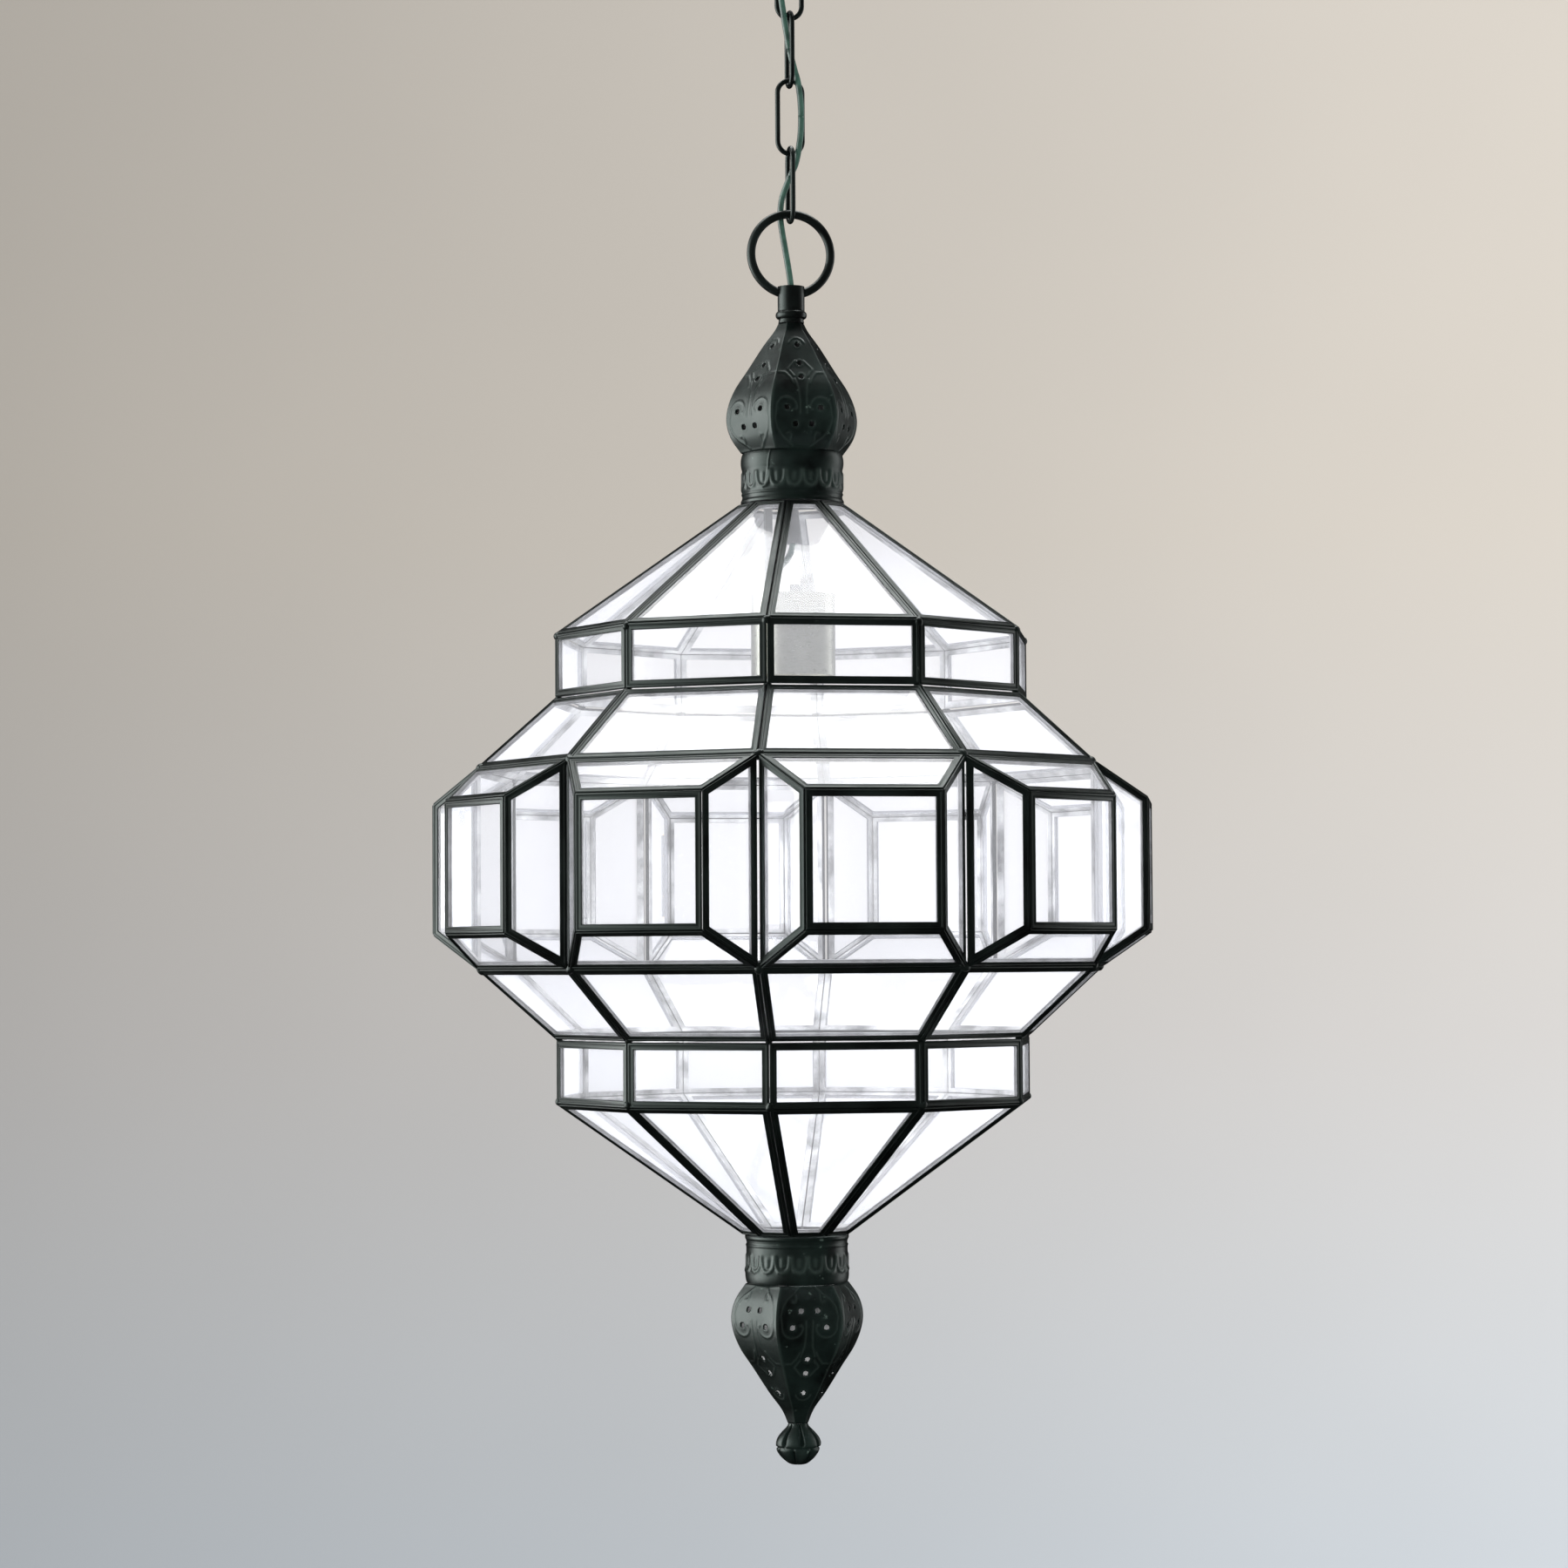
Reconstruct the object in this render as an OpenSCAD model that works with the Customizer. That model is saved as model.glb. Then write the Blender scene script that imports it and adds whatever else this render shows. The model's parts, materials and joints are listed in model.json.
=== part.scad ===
// Hanging lantern: ten-sided glass body of panes in folded metal cames, two stamped domes,
// a lamp holder inside, a small door at the back, and a chain and cable from a ceiling rose.
// The origin is the middle of the ceiling bracket's top face and +Z is up, so all hangs below zero.
// The front is -Y. Angles round the axis are counted from the front towards +X.

/* [Glass body] */
// Corner radius of the small end rings, under the two collars
end_ring_r = 30; // [29:0.5:32]
// Corner radius of the upper and lower drums
drum_r = 134; // [124:1:140]
// Radius of the valleys between the boxes
valley_r = 177.5; // [172:0.5:182]
// Distance from the axis to the face of a box
face_r = 197; // [192:1:202]
// Width of a box face
face_w = 73; // [66:1:78]
// Height of a box face
face_h = 72.5; // [64:0.5:80]
// Height between the upper and lower valley corners
valley_h = 111; // [104:1:120]
// Height between the two drums
drum_gap_h = 187.5; // [175:0.5:200]
// Height of one drum
drum_h = 35.5; // [28:0.5:45]
// Height of one end cone
cone_h = 73; // [60:1:90]

/* [Cames and glass] */
// Width of a came, the folded channel round a pane
came_w = 4.2; // [4:0.1:6]
// Depth of a came
came_t = 3; // [2.8:0.1:3.2]
// How far the channel's groove is cut into the came
groove_d = 1.4; // [1.2:0.1:1.5]
// Thickness of the glass
glass_t = 1.8; // [1.2:0.1:1.8]
// Half of the soldered seam between neighbouring cames
seam = 0.1; // [0.05:0.05:0.2]
// Play between the door's came and its neighbours
door_play = 0.4; // [0.3:0.1:0.6]

/* [Collars, domes and finial] */
// Outer radius of a collar's plain wall
collar_r = 28; // [27.5:0.5:29]
// Height of the top collar
top_collar_h = 27.8; // [24:0.1:36]
// Height of the bottom collar
bottom_collar_h = 26; // [24:0.1:36]
// Radius of the round holes in the domes
dome_hole_r = 1.45; // [1:0.05:2]
// Thickness of the domes' and collars' sheet
sheet_t = 0.8; // [0.6:0.1:1]
// Radius of the finial's knob
finial_r = 12.3; // [10:0.1:15]

/* [Hanger] */
// Outer radius of the stem tube
stem_r = 7.5; // [7:0.1:8]
// Radius of the hoop, to the middle of its bar
hoop_r = 22.6; // [20:0.1:26]
// Thickness of the hoop's bar
hoop_bar = 4.8; // [4:0.1:5.4]
// Length of a chain link, outside
link_l = 44; // [40:1:48]
// Width of a chain link, outside
link_w = 16.8; // [16.4:0.1:18]
// Thickness of a chain link's wire
link_wire = 2.8; // [2.5:0.1:2.8]
// Play where two hanging pieces hook together
hook_play = 0.3; // [0.2:0.05:0.4]
// Radius of the supply cable
cable_r = 1.75; // [1.5:0.05:1.75]

/* [Ceiling rose] */
// Radius of the rose's dish
rose_r = 55; // [52:1:70]
// Height of the rose's dish
rose_h = 27; // [27:1:30]
// Distance between the two ceiling screws
screw_gap = 70; // [60:1:76]
// Radius of the ceiling screws' holes
screw_hole_r = 2.3; // [2:0.1:2.6]

/* [Lamp holder] */
// Outer radius of the holder's metal cover
cover_r = 23.4; // [22:0.1:26]
// Height of the holder's metal cover
cover_h = 45.3; // [44:0.1:60]
// Inner radius of the lamp thread's shell
socket_r = 13.2; // [13:0.05:13.4]

/* [Door] */
// Radius of the hinge pin
pin_r = 0.8; // [0.6:0.05:0.9]
// Outer radius of a hinge knuckle
knuckle_r = 1.7; // [1.5:0.05:1.8]
// Half height of the door's own knuckle
knuckle_h = 12; // [8:1:16]

/* [Hidden] */

$fn = 48;

// Colours
iron = [0.10, 0.12, 0.115];
iron_green = [0.13, 0.17, 0.15];
clear = [0.93, 0.94, 0.98, 0.45];
steel = [0.55, 0.56, 0.55];
nickel = [0.66, 0.66, 0.62];
brass = [0.78, 0.62, 0.30];
cable_green = [0.16, 0.27, 0.23];
ceramic = [0.92, 0.90, 0.85];

// The glass body has ten sides. Box faces lie at 0, 36, 72 ... and ring corners at 18, 54, 90 ...
sides = 10;
turn = 360 / sides;
door_k = 5;

// Heights of the body's rings above and below its middle
face_z = face_h / 2;
valley_z = valley_h / 2;
drum_in_z = drum_gap_h / 2;
drum_out_z = drum_in_z + drum_h;
end_z = drum_out_z + cone_h;

// Heights of what stands on the body, measured from its middle
collar_z = end_z + 0.2;
top_dome_z = collar_z + top_collar_h + 0.1;
bottom_dome_z = collar_z + bottom_collar_h + 0.1;
dome_top_h = 73.4;
neck_z = top_dome_z + dome_top_h + 0.1;
neck_h = 6.6;
stem_z = neck_z + neck_h + 0.1;
stem_h = 13.7;
rod_r = 5;
rod_bore_r = 3;
rod_hole_r = 5.05;

// The rose's loop, the chain and the hoop hook into each other with a little play
loop_r = 9;
loop_wire = 4;
loop_z = -rose_h - 17.7;
link_pitch = link_l - 2 * link_wire - hook_play;
link_4_top = loop_z - loop_r + loop_wire / 2 + hook_play + link_wire;
link_1_bottom = link_4_top - 3 * link_pitch - link_l;
hoop_z = link_1_bottom + link_wire + hook_play + hoop_bar / 2 - hoop_r;
hoop_end_x = 6.4;
hoop_gap = asin(hoop_end_x / hoop_r);
hoop_end_z = stem_z + stem_h - 3.4;
mid_z = hoop_z - hoop_r * cos(hoop_gap) - hoop_end_z;

// Route of the supply cable: up from the stem, in and out of the links, into the rose
cable_route = [
    [0, 0, -250.8], [0, 0, -243], [-1, 0.5, -234], [-2.6, 2, -222], [-4, 4, -211],
    [-4.8, 5, -202], [-4.2, 4, -193], [-2.2, 2, -186],
    [0, 0, -180], [2.6, -1.8, -173.5], [4, -3.5, -166], [5.2, -3.6, -157],
    [5.6, -3.6, -147], [5.2, -3.6, -137], [4, -3.5, -128], [2.4, -1.8, -120.5],
    [0, 0, -109], [-2.4, -1.8, -97.5], [-4, -3.5, -90], [-5.4, -3.6, -80],
    [-5.8, -3.6, -70], [-6, -4, -60], [-7, -4, -50], [-10, -2.5, -40],
    [-13, 0, -31], [-13, 0, -24], [-13, 1.5, -17], [-13, 5, -11], [-13, 10, -8], [-13, 15, -7.5]
];
// Where the route is cut into pieces, one for each joint of the chain
cable_cuts = [0, 8, 12, 16, 20, 29];
// Route of the lead inside the lantern, from the stem down to the lamp holder, from the body's middle
lead_route = [
    [0, 0, 315], [0, 0, 300], [0, 0, 290], [0, 0, 280], [0, 0, 270], [0, 0, 260], [0, 0, 250], [0, 0, 240],
    [0, 0, 230], [0, 0, 220], [0, 0, 210], [0, 0, 200], [0, 0, 190], [0, 0, 181], [-1, -0.5, 176],
    [-4, -2.5, 171], [-8, -5.5, 167], [-10.5, -7.5, 162], [-11, -8, 157], [-11, -8, 151], [-11, -8, 146]
];
lead_x = -11;
lead_y = -8;

// Outline of the stamped domes: [corner radius, height above the collar]
dome_outline = [
    [29, 0], [34.8, 8.5], [37.2, 17.5], [36, 26.5], [32, 36], [25, 46.5], [16.2, 60], [9.2, 69.5],
    [5.8, 77]
];
dome_h = 77;
dome_faces = 6;
// Holes on each dome face: [distance from the face's centre line, height above the collar]
dome_holes = [[0, 59.5], [0, 48.2], [0, 40.2], [-9.5, 22.3], [9.5, 22.3], [-4.6, 13.2], [4.6, 13.2]];

// Outline of the finial: [radius as a share of the knob's, distance below its top]
finial_outline = [
    [0.44, 0], [0.5, 2], [0.74, 5.2], [0.93, 8.4], [1, 12], [0.94, 14.8], [0.76, 18.4], [0.48, 21.6],
    [0.3, 22.6]
];
finial_h = 22.6;

// Lamp holder levels, from the body's middle
cover_bottom_z = 106.7;
cover_top_z = cover_bottom_z + cover_h;
strap_t = 1.2;
strap_w = 8;
strap_reach = 16;
strap_turn = 50;
insulator_r = 19;
shell_bottom_z = cover_bottom_z + 5.8;
shell_h = 25.5;

// The door's hinge stands off both faces that meet at the box's corner
hinge_off = knuckle_r + 0.3;
hinge_out = face_r + hinge_off;
hinge_x = face_w / 2 + hinge_off * tan(corner_angle() / 2);

// ---- Vectors, panes and sweeps ----

function unit(v) = v / norm(v);

// A point at angle a from the front
function around(r, a, z) = [r * sin(a), -r * cos(a), z];

// Angle between a box's face and its side pane
function corner_angle() = acos(normal_of(face_pane(0)) * normal_of(side_pane_right(0)));

// Outward normal of a pane whose corners run anticlockwise seen from outside
function normal_of(p) = unit(cross(p[1] - p[0], p[3] - p[0]));

// How much a came's outer edge leans in for each millimetre of depth, where two panes meet
function bevel(n, m) = tan(acos(n * m) / 2);

// A pane's outline with each edge moved in by its own distance, d[i] for the edge after corner i
function inset(p, d) = [
    for (i = [0:len(p) - 1])
        let (last = (i + len(p) - 1) % len(p), next = (i + 1) % len(p))
        let (before = unit(p[i] - p[last]), after = unit(p[next] - p[i]))
        p[i] + (d[last] * after - d[i] * before) / norm(cross(before, after))
];

// Pane k of a tier between a lower ring and an upper ring
function tier_pane(k, low_r, low_z, high_r, high_z) = [
    around(low_r, turn * (k - 0.5), low_z), around(low_r, turn * (k + 0.5), low_z),
    around(high_r, turn * (k + 0.5), high_z), around(high_r, turn * (k - 0.5), high_z)
];

// A corner of box k: side is -1 for its left edge and 1 for its right edge, seen from outside
function corner(k, side, z) = around(face_r, turn * k, z)
    + side * face_w / 2 * [cos(turn * k), sin(turn * k), 0];
function valley(k, side, z) = around(valley_r, turn * (k + side / 2), z);

function face_pane(k) = [
    corner(k, -1, -face_z), corner(k, 1, -face_z), corner(k, 1, face_z), corner(k, -1, face_z)
];
function box_top_pane(k) = [
    corner(k, -1, face_z), corner(k, 1, face_z), valley(k, 1, valley_z), valley(k, -1, valley_z)
];
function box_bottom_pane(k) = [
    valley(k, -1, -valley_z), valley(k, 1, -valley_z), corner(k, 1, -face_z), corner(k, -1, -face_z)
];
function side_pane_right(k) = [
    corner(k, 1, -face_z), valley(k, 1, -valley_z), valley(k, 1, valley_z), corner(k, 1, face_z)
];
function side_pane_left(k) = [
    valley(k, -1, -valley_z), corner(k, -1, -face_z), corner(k, -1, face_z), valley(k, -1, valley_z)
];

// Edge play of a pane's came at a depth, from its four bevels
function edge_play(bevels, play, depth) = [for (b = bevels) play + b * depth];

// The folded channel round one pane: eight outlines joined into a ring with a groove for the glass
module came_frame(p, bevels, play = seam) {
    n = normal_of(p);
    lip = (came_t - glass_t) / 2 - 0.1;
    floor_d = came_w - groove_d;
    section = [
        [edge_play(bevels, play, 0), 0],
        [edge_play([0, 0, 0, 0], came_w, 0), 0],
        [edge_play([0, 0, 0, 0], came_w, 0), lip],
        [edge_play([0, 0, 0, 0], floor_d, 0), lip],
        [edge_play([0, 0, 0, 0], floor_d, 0), came_t - lip],
        [edge_play([0, 0, 0, 0], came_w, 0), came_t - lip],
        [edge_play([0, 0, 0, 0], came_w, 0), came_t],
        [edge_play(bevels, play, came_t), came_t]
    ];
    points = [for (s = section) for (q = inset(p, s[0])) q - n * s[1]];
    faces = [
        for (j = [0:7]) for (i = [0:3])
            let (k = (j + 1) % 8, e = (i + 1) % 4)
            [4 * k + i, 4 * k + e, 4 * j + e, 4 * j + i]
    ];
    polyhedron(points, faces);
}

// The glass of one pane, held in the groove with a little room round its edge
module glass_sheet(p) {
    n = normal_of(p);
    edge = came_w - groove_d + 0.2;
    outline = inset(p, [edge, edge, edge, edge]);
    front = (came_t - glass_t) / 2;
    points = concat([for (q = outline) q - n * front], [for (q = outline) q - n * (front + glass_t)]);
    polyhedron(points, [[3, 2, 1, 0], [4, 5, 6, 7], [0, 1, 5, 4], [1, 2, 6, 5], [2, 3, 7, 6], [3, 0, 4, 7]]);
}

// Ten frames or ten sheets of a plain tier. low_bevel and high_bevel are its ring edges'
module tier_frames(low_r, low_z, high_r, high_z, low_bevel, high_bevel) {
    upright = bevel(
        normal_of(tier_pane(0, low_r, low_z, high_r, high_z)),
        normal_of(tier_pane(1, low_r, low_z, high_r, high_z))
    );
    for (k = [0:sides - 1])
        came_frame(tier_pane(k, low_r, low_z, high_r, high_z), [low_bevel, upright, high_bevel, upright]);
}

module tier_glass(low_r, low_z, high_r, high_z) {
    for (k = [0:sides - 1])
        glass_sheet(tier_pane(k, low_r, low_z, high_r, high_z));
}

// Bevels where the tiers meet. Where two tiers meet in a hollow edge the bevel is nothing
drum_cone_bevel = bevel(
    normal_of(tier_pane(0, drum_r, drum_in_z, drum_r, drum_out_z)),
    normal_of(tier_pane(0, drum_r, drum_out_z, end_ring_r, end_z))
);
top_face_bevel = bevel(normal_of(box_top_pane(0)), normal_of(face_pane(0)));
top_side_bevel = bevel(normal_of(box_top_pane(0)), normal_of(side_pane_right(0)));
face_side_bevel = tan(corner_angle() / 2);

// Points along a smooth curve through an outline's points
function smooth(p, steps) = [
    for (i = [0:len(p) - 2]) for (s = [0:steps - 1])
        let (a = p[max(i - 1, 0)], b = p[i], c = p[i + 1], d = p[min(i + 2, len(p) - 1)], t = s / steps)
        0.5 * (2 * b + (c - a) * t + (2 * a - 5 * b + 4 * c - d) * t * t
            + (3 * b - a - 3 * c + d) * t * t * t),
    p[len(p) - 1]
];

// A round tube through part of a route, with eight sides and a ring at each point
module route_tube(route, from, to, r) {
    tube_sides = 8;
    rings = [
        for (i = [from:to])
            let (back = route[max(i - 1, 0)], ahead = route[min(i + 1, len(route) - 1)])
            let (along = unit(ahead - back), u = unit(cross(along, [0, 1, 0])), v = cross(u, along))
            for (s = [0:tube_sides - 1])
                route[i] + r * (cos(360 * s / tube_sides) * u + sin(360 * s / tube_sides) * v)
    ];
    n = to - from;
    walls = [
        for (i = [0:n - 1]) for (s = [0:tube_sides - 1])
            let (e = (s + 1) % tube_sides)
            [i * tube_sides + s, i * tube_sides + e, (i + 1) * tube_sides + e, (i + 1) * tube_sides + s]
    ];
    start = [[for (s = [tube_sides - 1:-1:0]) s]];
    end = [[for (s = [0:tube_sides - 1]) n * tube_sides + s]];
    polyhedron(rings, concat(walls, start, end));
}

module from_middle(z = 0) {
    translate([0, 0, mid_z + z]) children();
}

module ring(outer, inner, h) {
    difference() {
        cylinder(r = outer, h = h);
        translate([0, 0, -1]) cylinder(r = inner, h = h + 2);
    }
}

// ---- Ceiling rose ----

// A flat bar with two screw holes, and an ear that carries the terminal block
module ceiling_bracket() {
    color(steel)
    difference() {
        union() {
            translate([-45, -9, -2]) cube([90, 18, 2]);
            translate([-21, 0, -2]) cube([16, 38, 2]);
        }
        translate([0, 0, -3]) cylinder(r = rod_hole_r, h = 4);
        for (x = [-screw_gap / 2, screw_gap / 2])
            translate([x, 0, -3]) cylinder(r = screw_hole_r, h = 4);
    }
}

module canopy_nipple() {
    color(steel)
    translate([0, 0, -rose_h - 6]) ring(rod_r, rod_bore_r, rose_h + 5.5);
}

// The dish: a flat hub, a round shoulder and an upright rim
module ceiling_canopy() {
    shoulder = 18;
    wall = 1.2;
    hub_r = rose_r - shoulder;
    outer = [for (a = [0:6:90]) [hub_r + shoulder * sin(a), shoulder - rose_h - shoulder * cos(a)]];
    inner = [
        for (a = [90:-6:0])
            [hub_r + (shoulder - wall) * sin(a), shoulder - rose_h - (shoulder - wall) * cos(a)]
    ];
    color(iron)
    difference() {
        rotate_extrude($fn = 96)
            polygon(concat(
                [[0, -rose_h]], outer, [[rose_r, -0.5], [rose_r - wall, -0.5]], inner, [[0, wall - rose_h]]
            ));
        translate([0, 0, -rose_h - 1]) cylinder(r = rod_r + 0.2, h = 4);
        translate([-13, 0, -rose_h - 1]) cylinder(r = 3.3, h = 4);
    }
}

module canopy_loop() {
    boss_h = 7.5;
    color(iron)
    difference() {
        union() {
            translate([0, 0, -rose_h - boss_h - 0.1]) cylinder(r = 7.8, h = boss_h);
            translate([0, 0, loop_z]) rotate([0, 90, 0])
                rotate_extrude() translate([loop_r, 0]) circle(r = loop_wire / 2);
        }
        translate([0, 0, -rose_h - 6.2]) cylinder(r = rod_hole_r, h = 8);
    }
}

module cable_bush() {
    color(iron)
    translate([-13, 0, 0])
    difference() {
        union() {
            translate([0, 0, -rose_h - 1.7]) cylinder(r = 4.5, h = 1.6);
            translate([0, 0, -rose_h - 0.2]) cylinder(r = 3.2, h = 3.4);
        }
        translate([0, 0, -rose_h - 3]) cylinder(r = cable_r + 0.1, h = 8);
    }
}

// A two-way connector block under the bracket's ear, screwed from below
module terminal_block() {
    block = [14, 20, 10.4];
    low = -2.1 - block[2];
    color(ceramic)
    translate([-13, 15.1, 0])
    difference() {
        translate([-block[0] / 2, 0, low]) cube(block);
        for (x = [-3.5, 3.5]) translate([x, block[1] - 8, -7.5]) rotate([-90, 0, 0]) cylinder(r = 1.3, h = 9);
        for (x = [-3.5, 3.5]) translate([x, block[1] - 6, low - 1]) cylinder(r = 1.6, h = 6);
    }
}

// ---- Chain and cable ----

// A welded link standing upright with its top at zero, in the plane of X and Z
module link() {
    bend_r = (link_w - link_wire) / 2;
    straight = link_l - link_w;
    for (up = [0, 1])
        translate([0, 0, -link_w / 2 - (1 - up) * straight]) rotate([90, 180 * (1 - up), 0])
            rotate_extrude(angle = 180) translate([bend_r, 0]) circle(r = link_wire / 2);
    for (x = [-bend_r, bend_r])
        translate([x, 0, -link_w / 2 - straight]) cylinder(r = link_wire / 2, h = straight);
}

// Links are counted from the lantern up. Even links lie across, odd links stand edge on
module chain_link(number) {
    color(iron)
    translate([0, 0, link_4_top - (4 - number) * link_pitch])
        rotate([0, 0, number % 2 == 0 ? 0 : 90]) link();
}

module chain_link_4() { chain_link(4); }
module chain_link_3() { chain_link(3); }
module chain_link_2() { chain_link(2); }
module chain_link_1() { chain_link(1); }

module cable_piece(number) {
    color(cable_green) route_tube(cable_route, cable_cuts[number], cable_cuts[number + 1], cable_r);
}

module cable_stem() { cable_piece(0); }
module cable_link_2() { cable_piece(1); }
module cable_link_3() { cable_piece(2); }
module cable_link_4() { cable_piece(3); }
module cable_canopy() { cable_piece(4); }

// ---- Hoop, stem and top ----

// An open ring of round bar. Its ends are shaped to the stem's wall, where they are brazed on
module hanging_hoop() {
    color(iron)
    difference() {
        translate([0, 0, hoop_z]) rotate([90, 0, 0]) rotate([0, 0, hoop_gap - 90])
            rotate_extrude(angle = 360 - 2 * hoop_gap, $fn = 96)
                translate([hoop_r, 0]) circle(r = hoop_bar / 2);
        from_middle(stem_z - 1) cylinder(r = stem_r, h = stem_h + 1);
    }
}

module stem_tube() {
    color(iron) from_middle(stem_z) ring(stem_r, rod_hole_r, stem_h);
}

// A turned bead between the stem and the dome
module neck_ring() {
    bead = 1.4;
    color(iron)
    from_middle(neck_z)
    rotate_extrude()
        polygon(concat(
            [[rod_hole_r, 0], [7.2, 0], [6.9, 2]],
            [for (a = [-75:15:75]) [7.3 + bead * cos(a), 4.4 + 2 * sin(a)]],
            [[7.4, neck_h], [rod_hole_r, neck_h]]
        ));
}

// The stamped sheet dome with its six faces, open at both ends, and the holes through each face
module dome_shell() {
    outline = smooth(dome_outline, 3);
    shell = concat(outline, [for (i = [len(outline) - 1:-1:0]) outline[i] - [sheet_t / cos(30), 0]]);
    difference() {
        rotate_extrude($fn = dome_faces) polygon(shell);
        for (f = [0:dome_faces - 1]) for (h = dome_holes)
            rotate([0, 0, f * 360 / dome_faces]) translate([h[0], -15, h[1]]) rotate([90, 0, 0])
                intersection() {
                    cylinder(r = dome_hole_r, h = 30, $fn = 24);
                    translate([-5, -5, -9 + hole_depth(h[1])]) cube([10, 10, 18]);
                }
    }
}

// How far out a hole's tool starts, so that it never reaches the dome's other faces
function hole_depth(h) = h > 45 ? 0 : 8;

module top_dome() {
    color(iron_green)
    from_middle(top_dome_z)
    difference() {
        dome_shell();
        translate([0, 0, dome_top_h]) cylinder(r = 20, h = 10);
    }
}

// A rolled collar: flared foot, plain band, low bead and an inner lip that carries the dome
module collar(collar_h) {
    wall = 1;
    bead_z = collar_h - 4.8;
    outer = concat(
        [[collar_r + 0.7, 0], [collar_r + 0.7, 1.6], [collar_r, 2.6], [collar_r, 5.2], [collar_r + 0.3, 5.8],
            [collar_r + 0.3, 6.6], [collar_r, 7.2], [collar_r, bead_z - 4]],
        [for (a = [-60:20:60]) [collar_r - 0.9 + 1.4 * cos(a), bead_z + 4 * sin(a)]],
        [[collar_r, collar_h]]
    );
    rotate_extrude($fn = 96)
        polygon(concat(
            outer,
            [[22, collar_h], [22, collar_h - wall], [collar_r - wall, collar_h - wall], [collar_r - wall, 0]]
        ));
}

module top_collar() {
    color(iron_green) from_middle(collar_z) collar(top_collar_h);
}

module centre_rod() {
    color(steel) from_middle(end_z + 0.4) ring(rod_r, rod_bore_r, stem_z + stem_h - 1.6 - end_z - 0.4);
}

module cross_bar() {
    bar = [52.6, 11, 2];
    color(steel)
    from_middle(end_z + 0.5)
    difference() {
        translate([-bar[0] / 2, -bar[1] / 2, 0]) cube(bar);
        translate([0, 0, -1]) cylinder(r = rod_hole_r, h = 4);
    }
}

module rod_nut() {
    color(steel)
    from_middle(end_z + 2.7 + strap_t)
    difference() {
        cylinder(r = 9.2, h = 5, $fn = 6);
        translate([0, 0, -1]) cylinder(r = rod_hole_r, h = 7);
    }
}

// ---- Glass body ----

module upper_roof_frame() {
    color(iron) from_middle() tier_frames(drum_r, drum_out_z, end_ring_r, end_z, drum_cone_bevel, 0);
}
module upper_roof_glass() {
    color(clear) from_middle() tier_glass(drum_r, drum_out_z, end_ring_r, end_z);
}
module upper_drum_frame() {
    color(iron) from_middle() tier_frames(drum_r, drum_in_z, drum_r, drum_out_z, 0, drum_cone_bevel);
}
module upper_drum_glass() {
    color(clear) from_middle() tier_glass(drum_r, drum_in_z, drum_r, drum_out_z);
}
module upper_shoulder_frame() {
    color(iron) from_middle() tier_frames(valley_r, valley_z, drum_r, drum_in_z, 0, 0);
}
module upper_shoulder_glass() {
    color(clear) from_middle() tier_glass(valley_r, valley_z, drum_r, drum_in_z);
}

module box_top_frame() {
    color(iron) from_middle()
        for (k = [0:sides - 1])
            came_frame(box_top_pane(k), [top_face_bevel, top_side_bevel, 0, top_side_bevel]);
}
module box_top_glass() {
    color(clear) from_middle() for (k = [0:sides - 1]) glass_sheet(box_top_pane(k));
}

// Nine of the ten box faces: the tenth is the door
module box_face_frame() {
    color(iron) from_middle()
        for (k = [0:sides - 1]) if (k != door_k)
            came_frame(face_pane(k), [top_face_bevel, face_side_bevel, top_face_bevel, face_side_bevel]);
}
module box_face_glass() {
    color(clear) from_middle() for (k = [0:sides - 1]) if (k != door_k) glass_sheet(face_pane(k));
}

module box_side_frame() {
    color(iron) from_middle()
        for (k = [0:sides - 1]) {
            came_frame(side_pane_right(k), [top_side_bevel, 0, top_side_bevel, face_side_bevel]);
            came_frame(side_pane_left(k), [top_side_bevel, face_side_bevel, top_side_bevel, 0]);
        }
}
module box_side_glass() {
    color(clear) from_middle()
        for (k = [0:sides - 1]) {
            glass_sheet(side_pane_right(k));
            glass_sheet(side_pane_left(k));
        }
}

module box_bottom_frame() {
    color(iron) from_middle()
        for (k = [0:sides - 1])
            came_frame(box_bottom_pane(k), [0, top_side_bevel, top_face_bevel, top_side_bevel]);
}
module box_bottom_glass() {
    color(clear) from_middle() for (k = [0:sides - 1]) glass_sheet(box_bottom_pane(k));
}

module lower_shoulder_frame() {
    color(iron) from_middle() tier_frames(drum_r, -drum_in_z, valley_r, -valley_z, 0, 0);
}
module lower_shoulder_glass() {
    color(clear) from_middle() tier_glass(drum_r, -drum_in_z, valley_r, -valley_z);
}
module lower_drum_frame() {
    color(iron) from_middle() tier_frames(drum_r, -drum_out_z, drum_r, -drum_in_z, drum_cone_bevel, 0);
}
module lower_drum_glass() {
    color(clear) from_middle() tier_glass(drum_r, -drum_out_z, drum_r, -drum_in_z);
}
module lower_cone_frame() {
    color(iron) from_middle() tier_frames(end_ring_r, -end_z, drum_r, -drum_out_z, 0, drum_cone_bevel);
}
module lower_cone_glass() {
    color(clear) from_middle() tier_glass(end_ring_r, -end_z, drum_r, -drum_out_z);
}

// ---- Door at the back ----

module door_frame() {
    color(iron) from_middle()
        came_frame(
            face_pane(door_k), [top_face_bevel, face_side_bevel, top_face_bevel, face_side_bevel], door_play
        );
}
module door_glass() {
    color(clear) from_middle() glass_sheet(face_pane(door_k));
}

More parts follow.
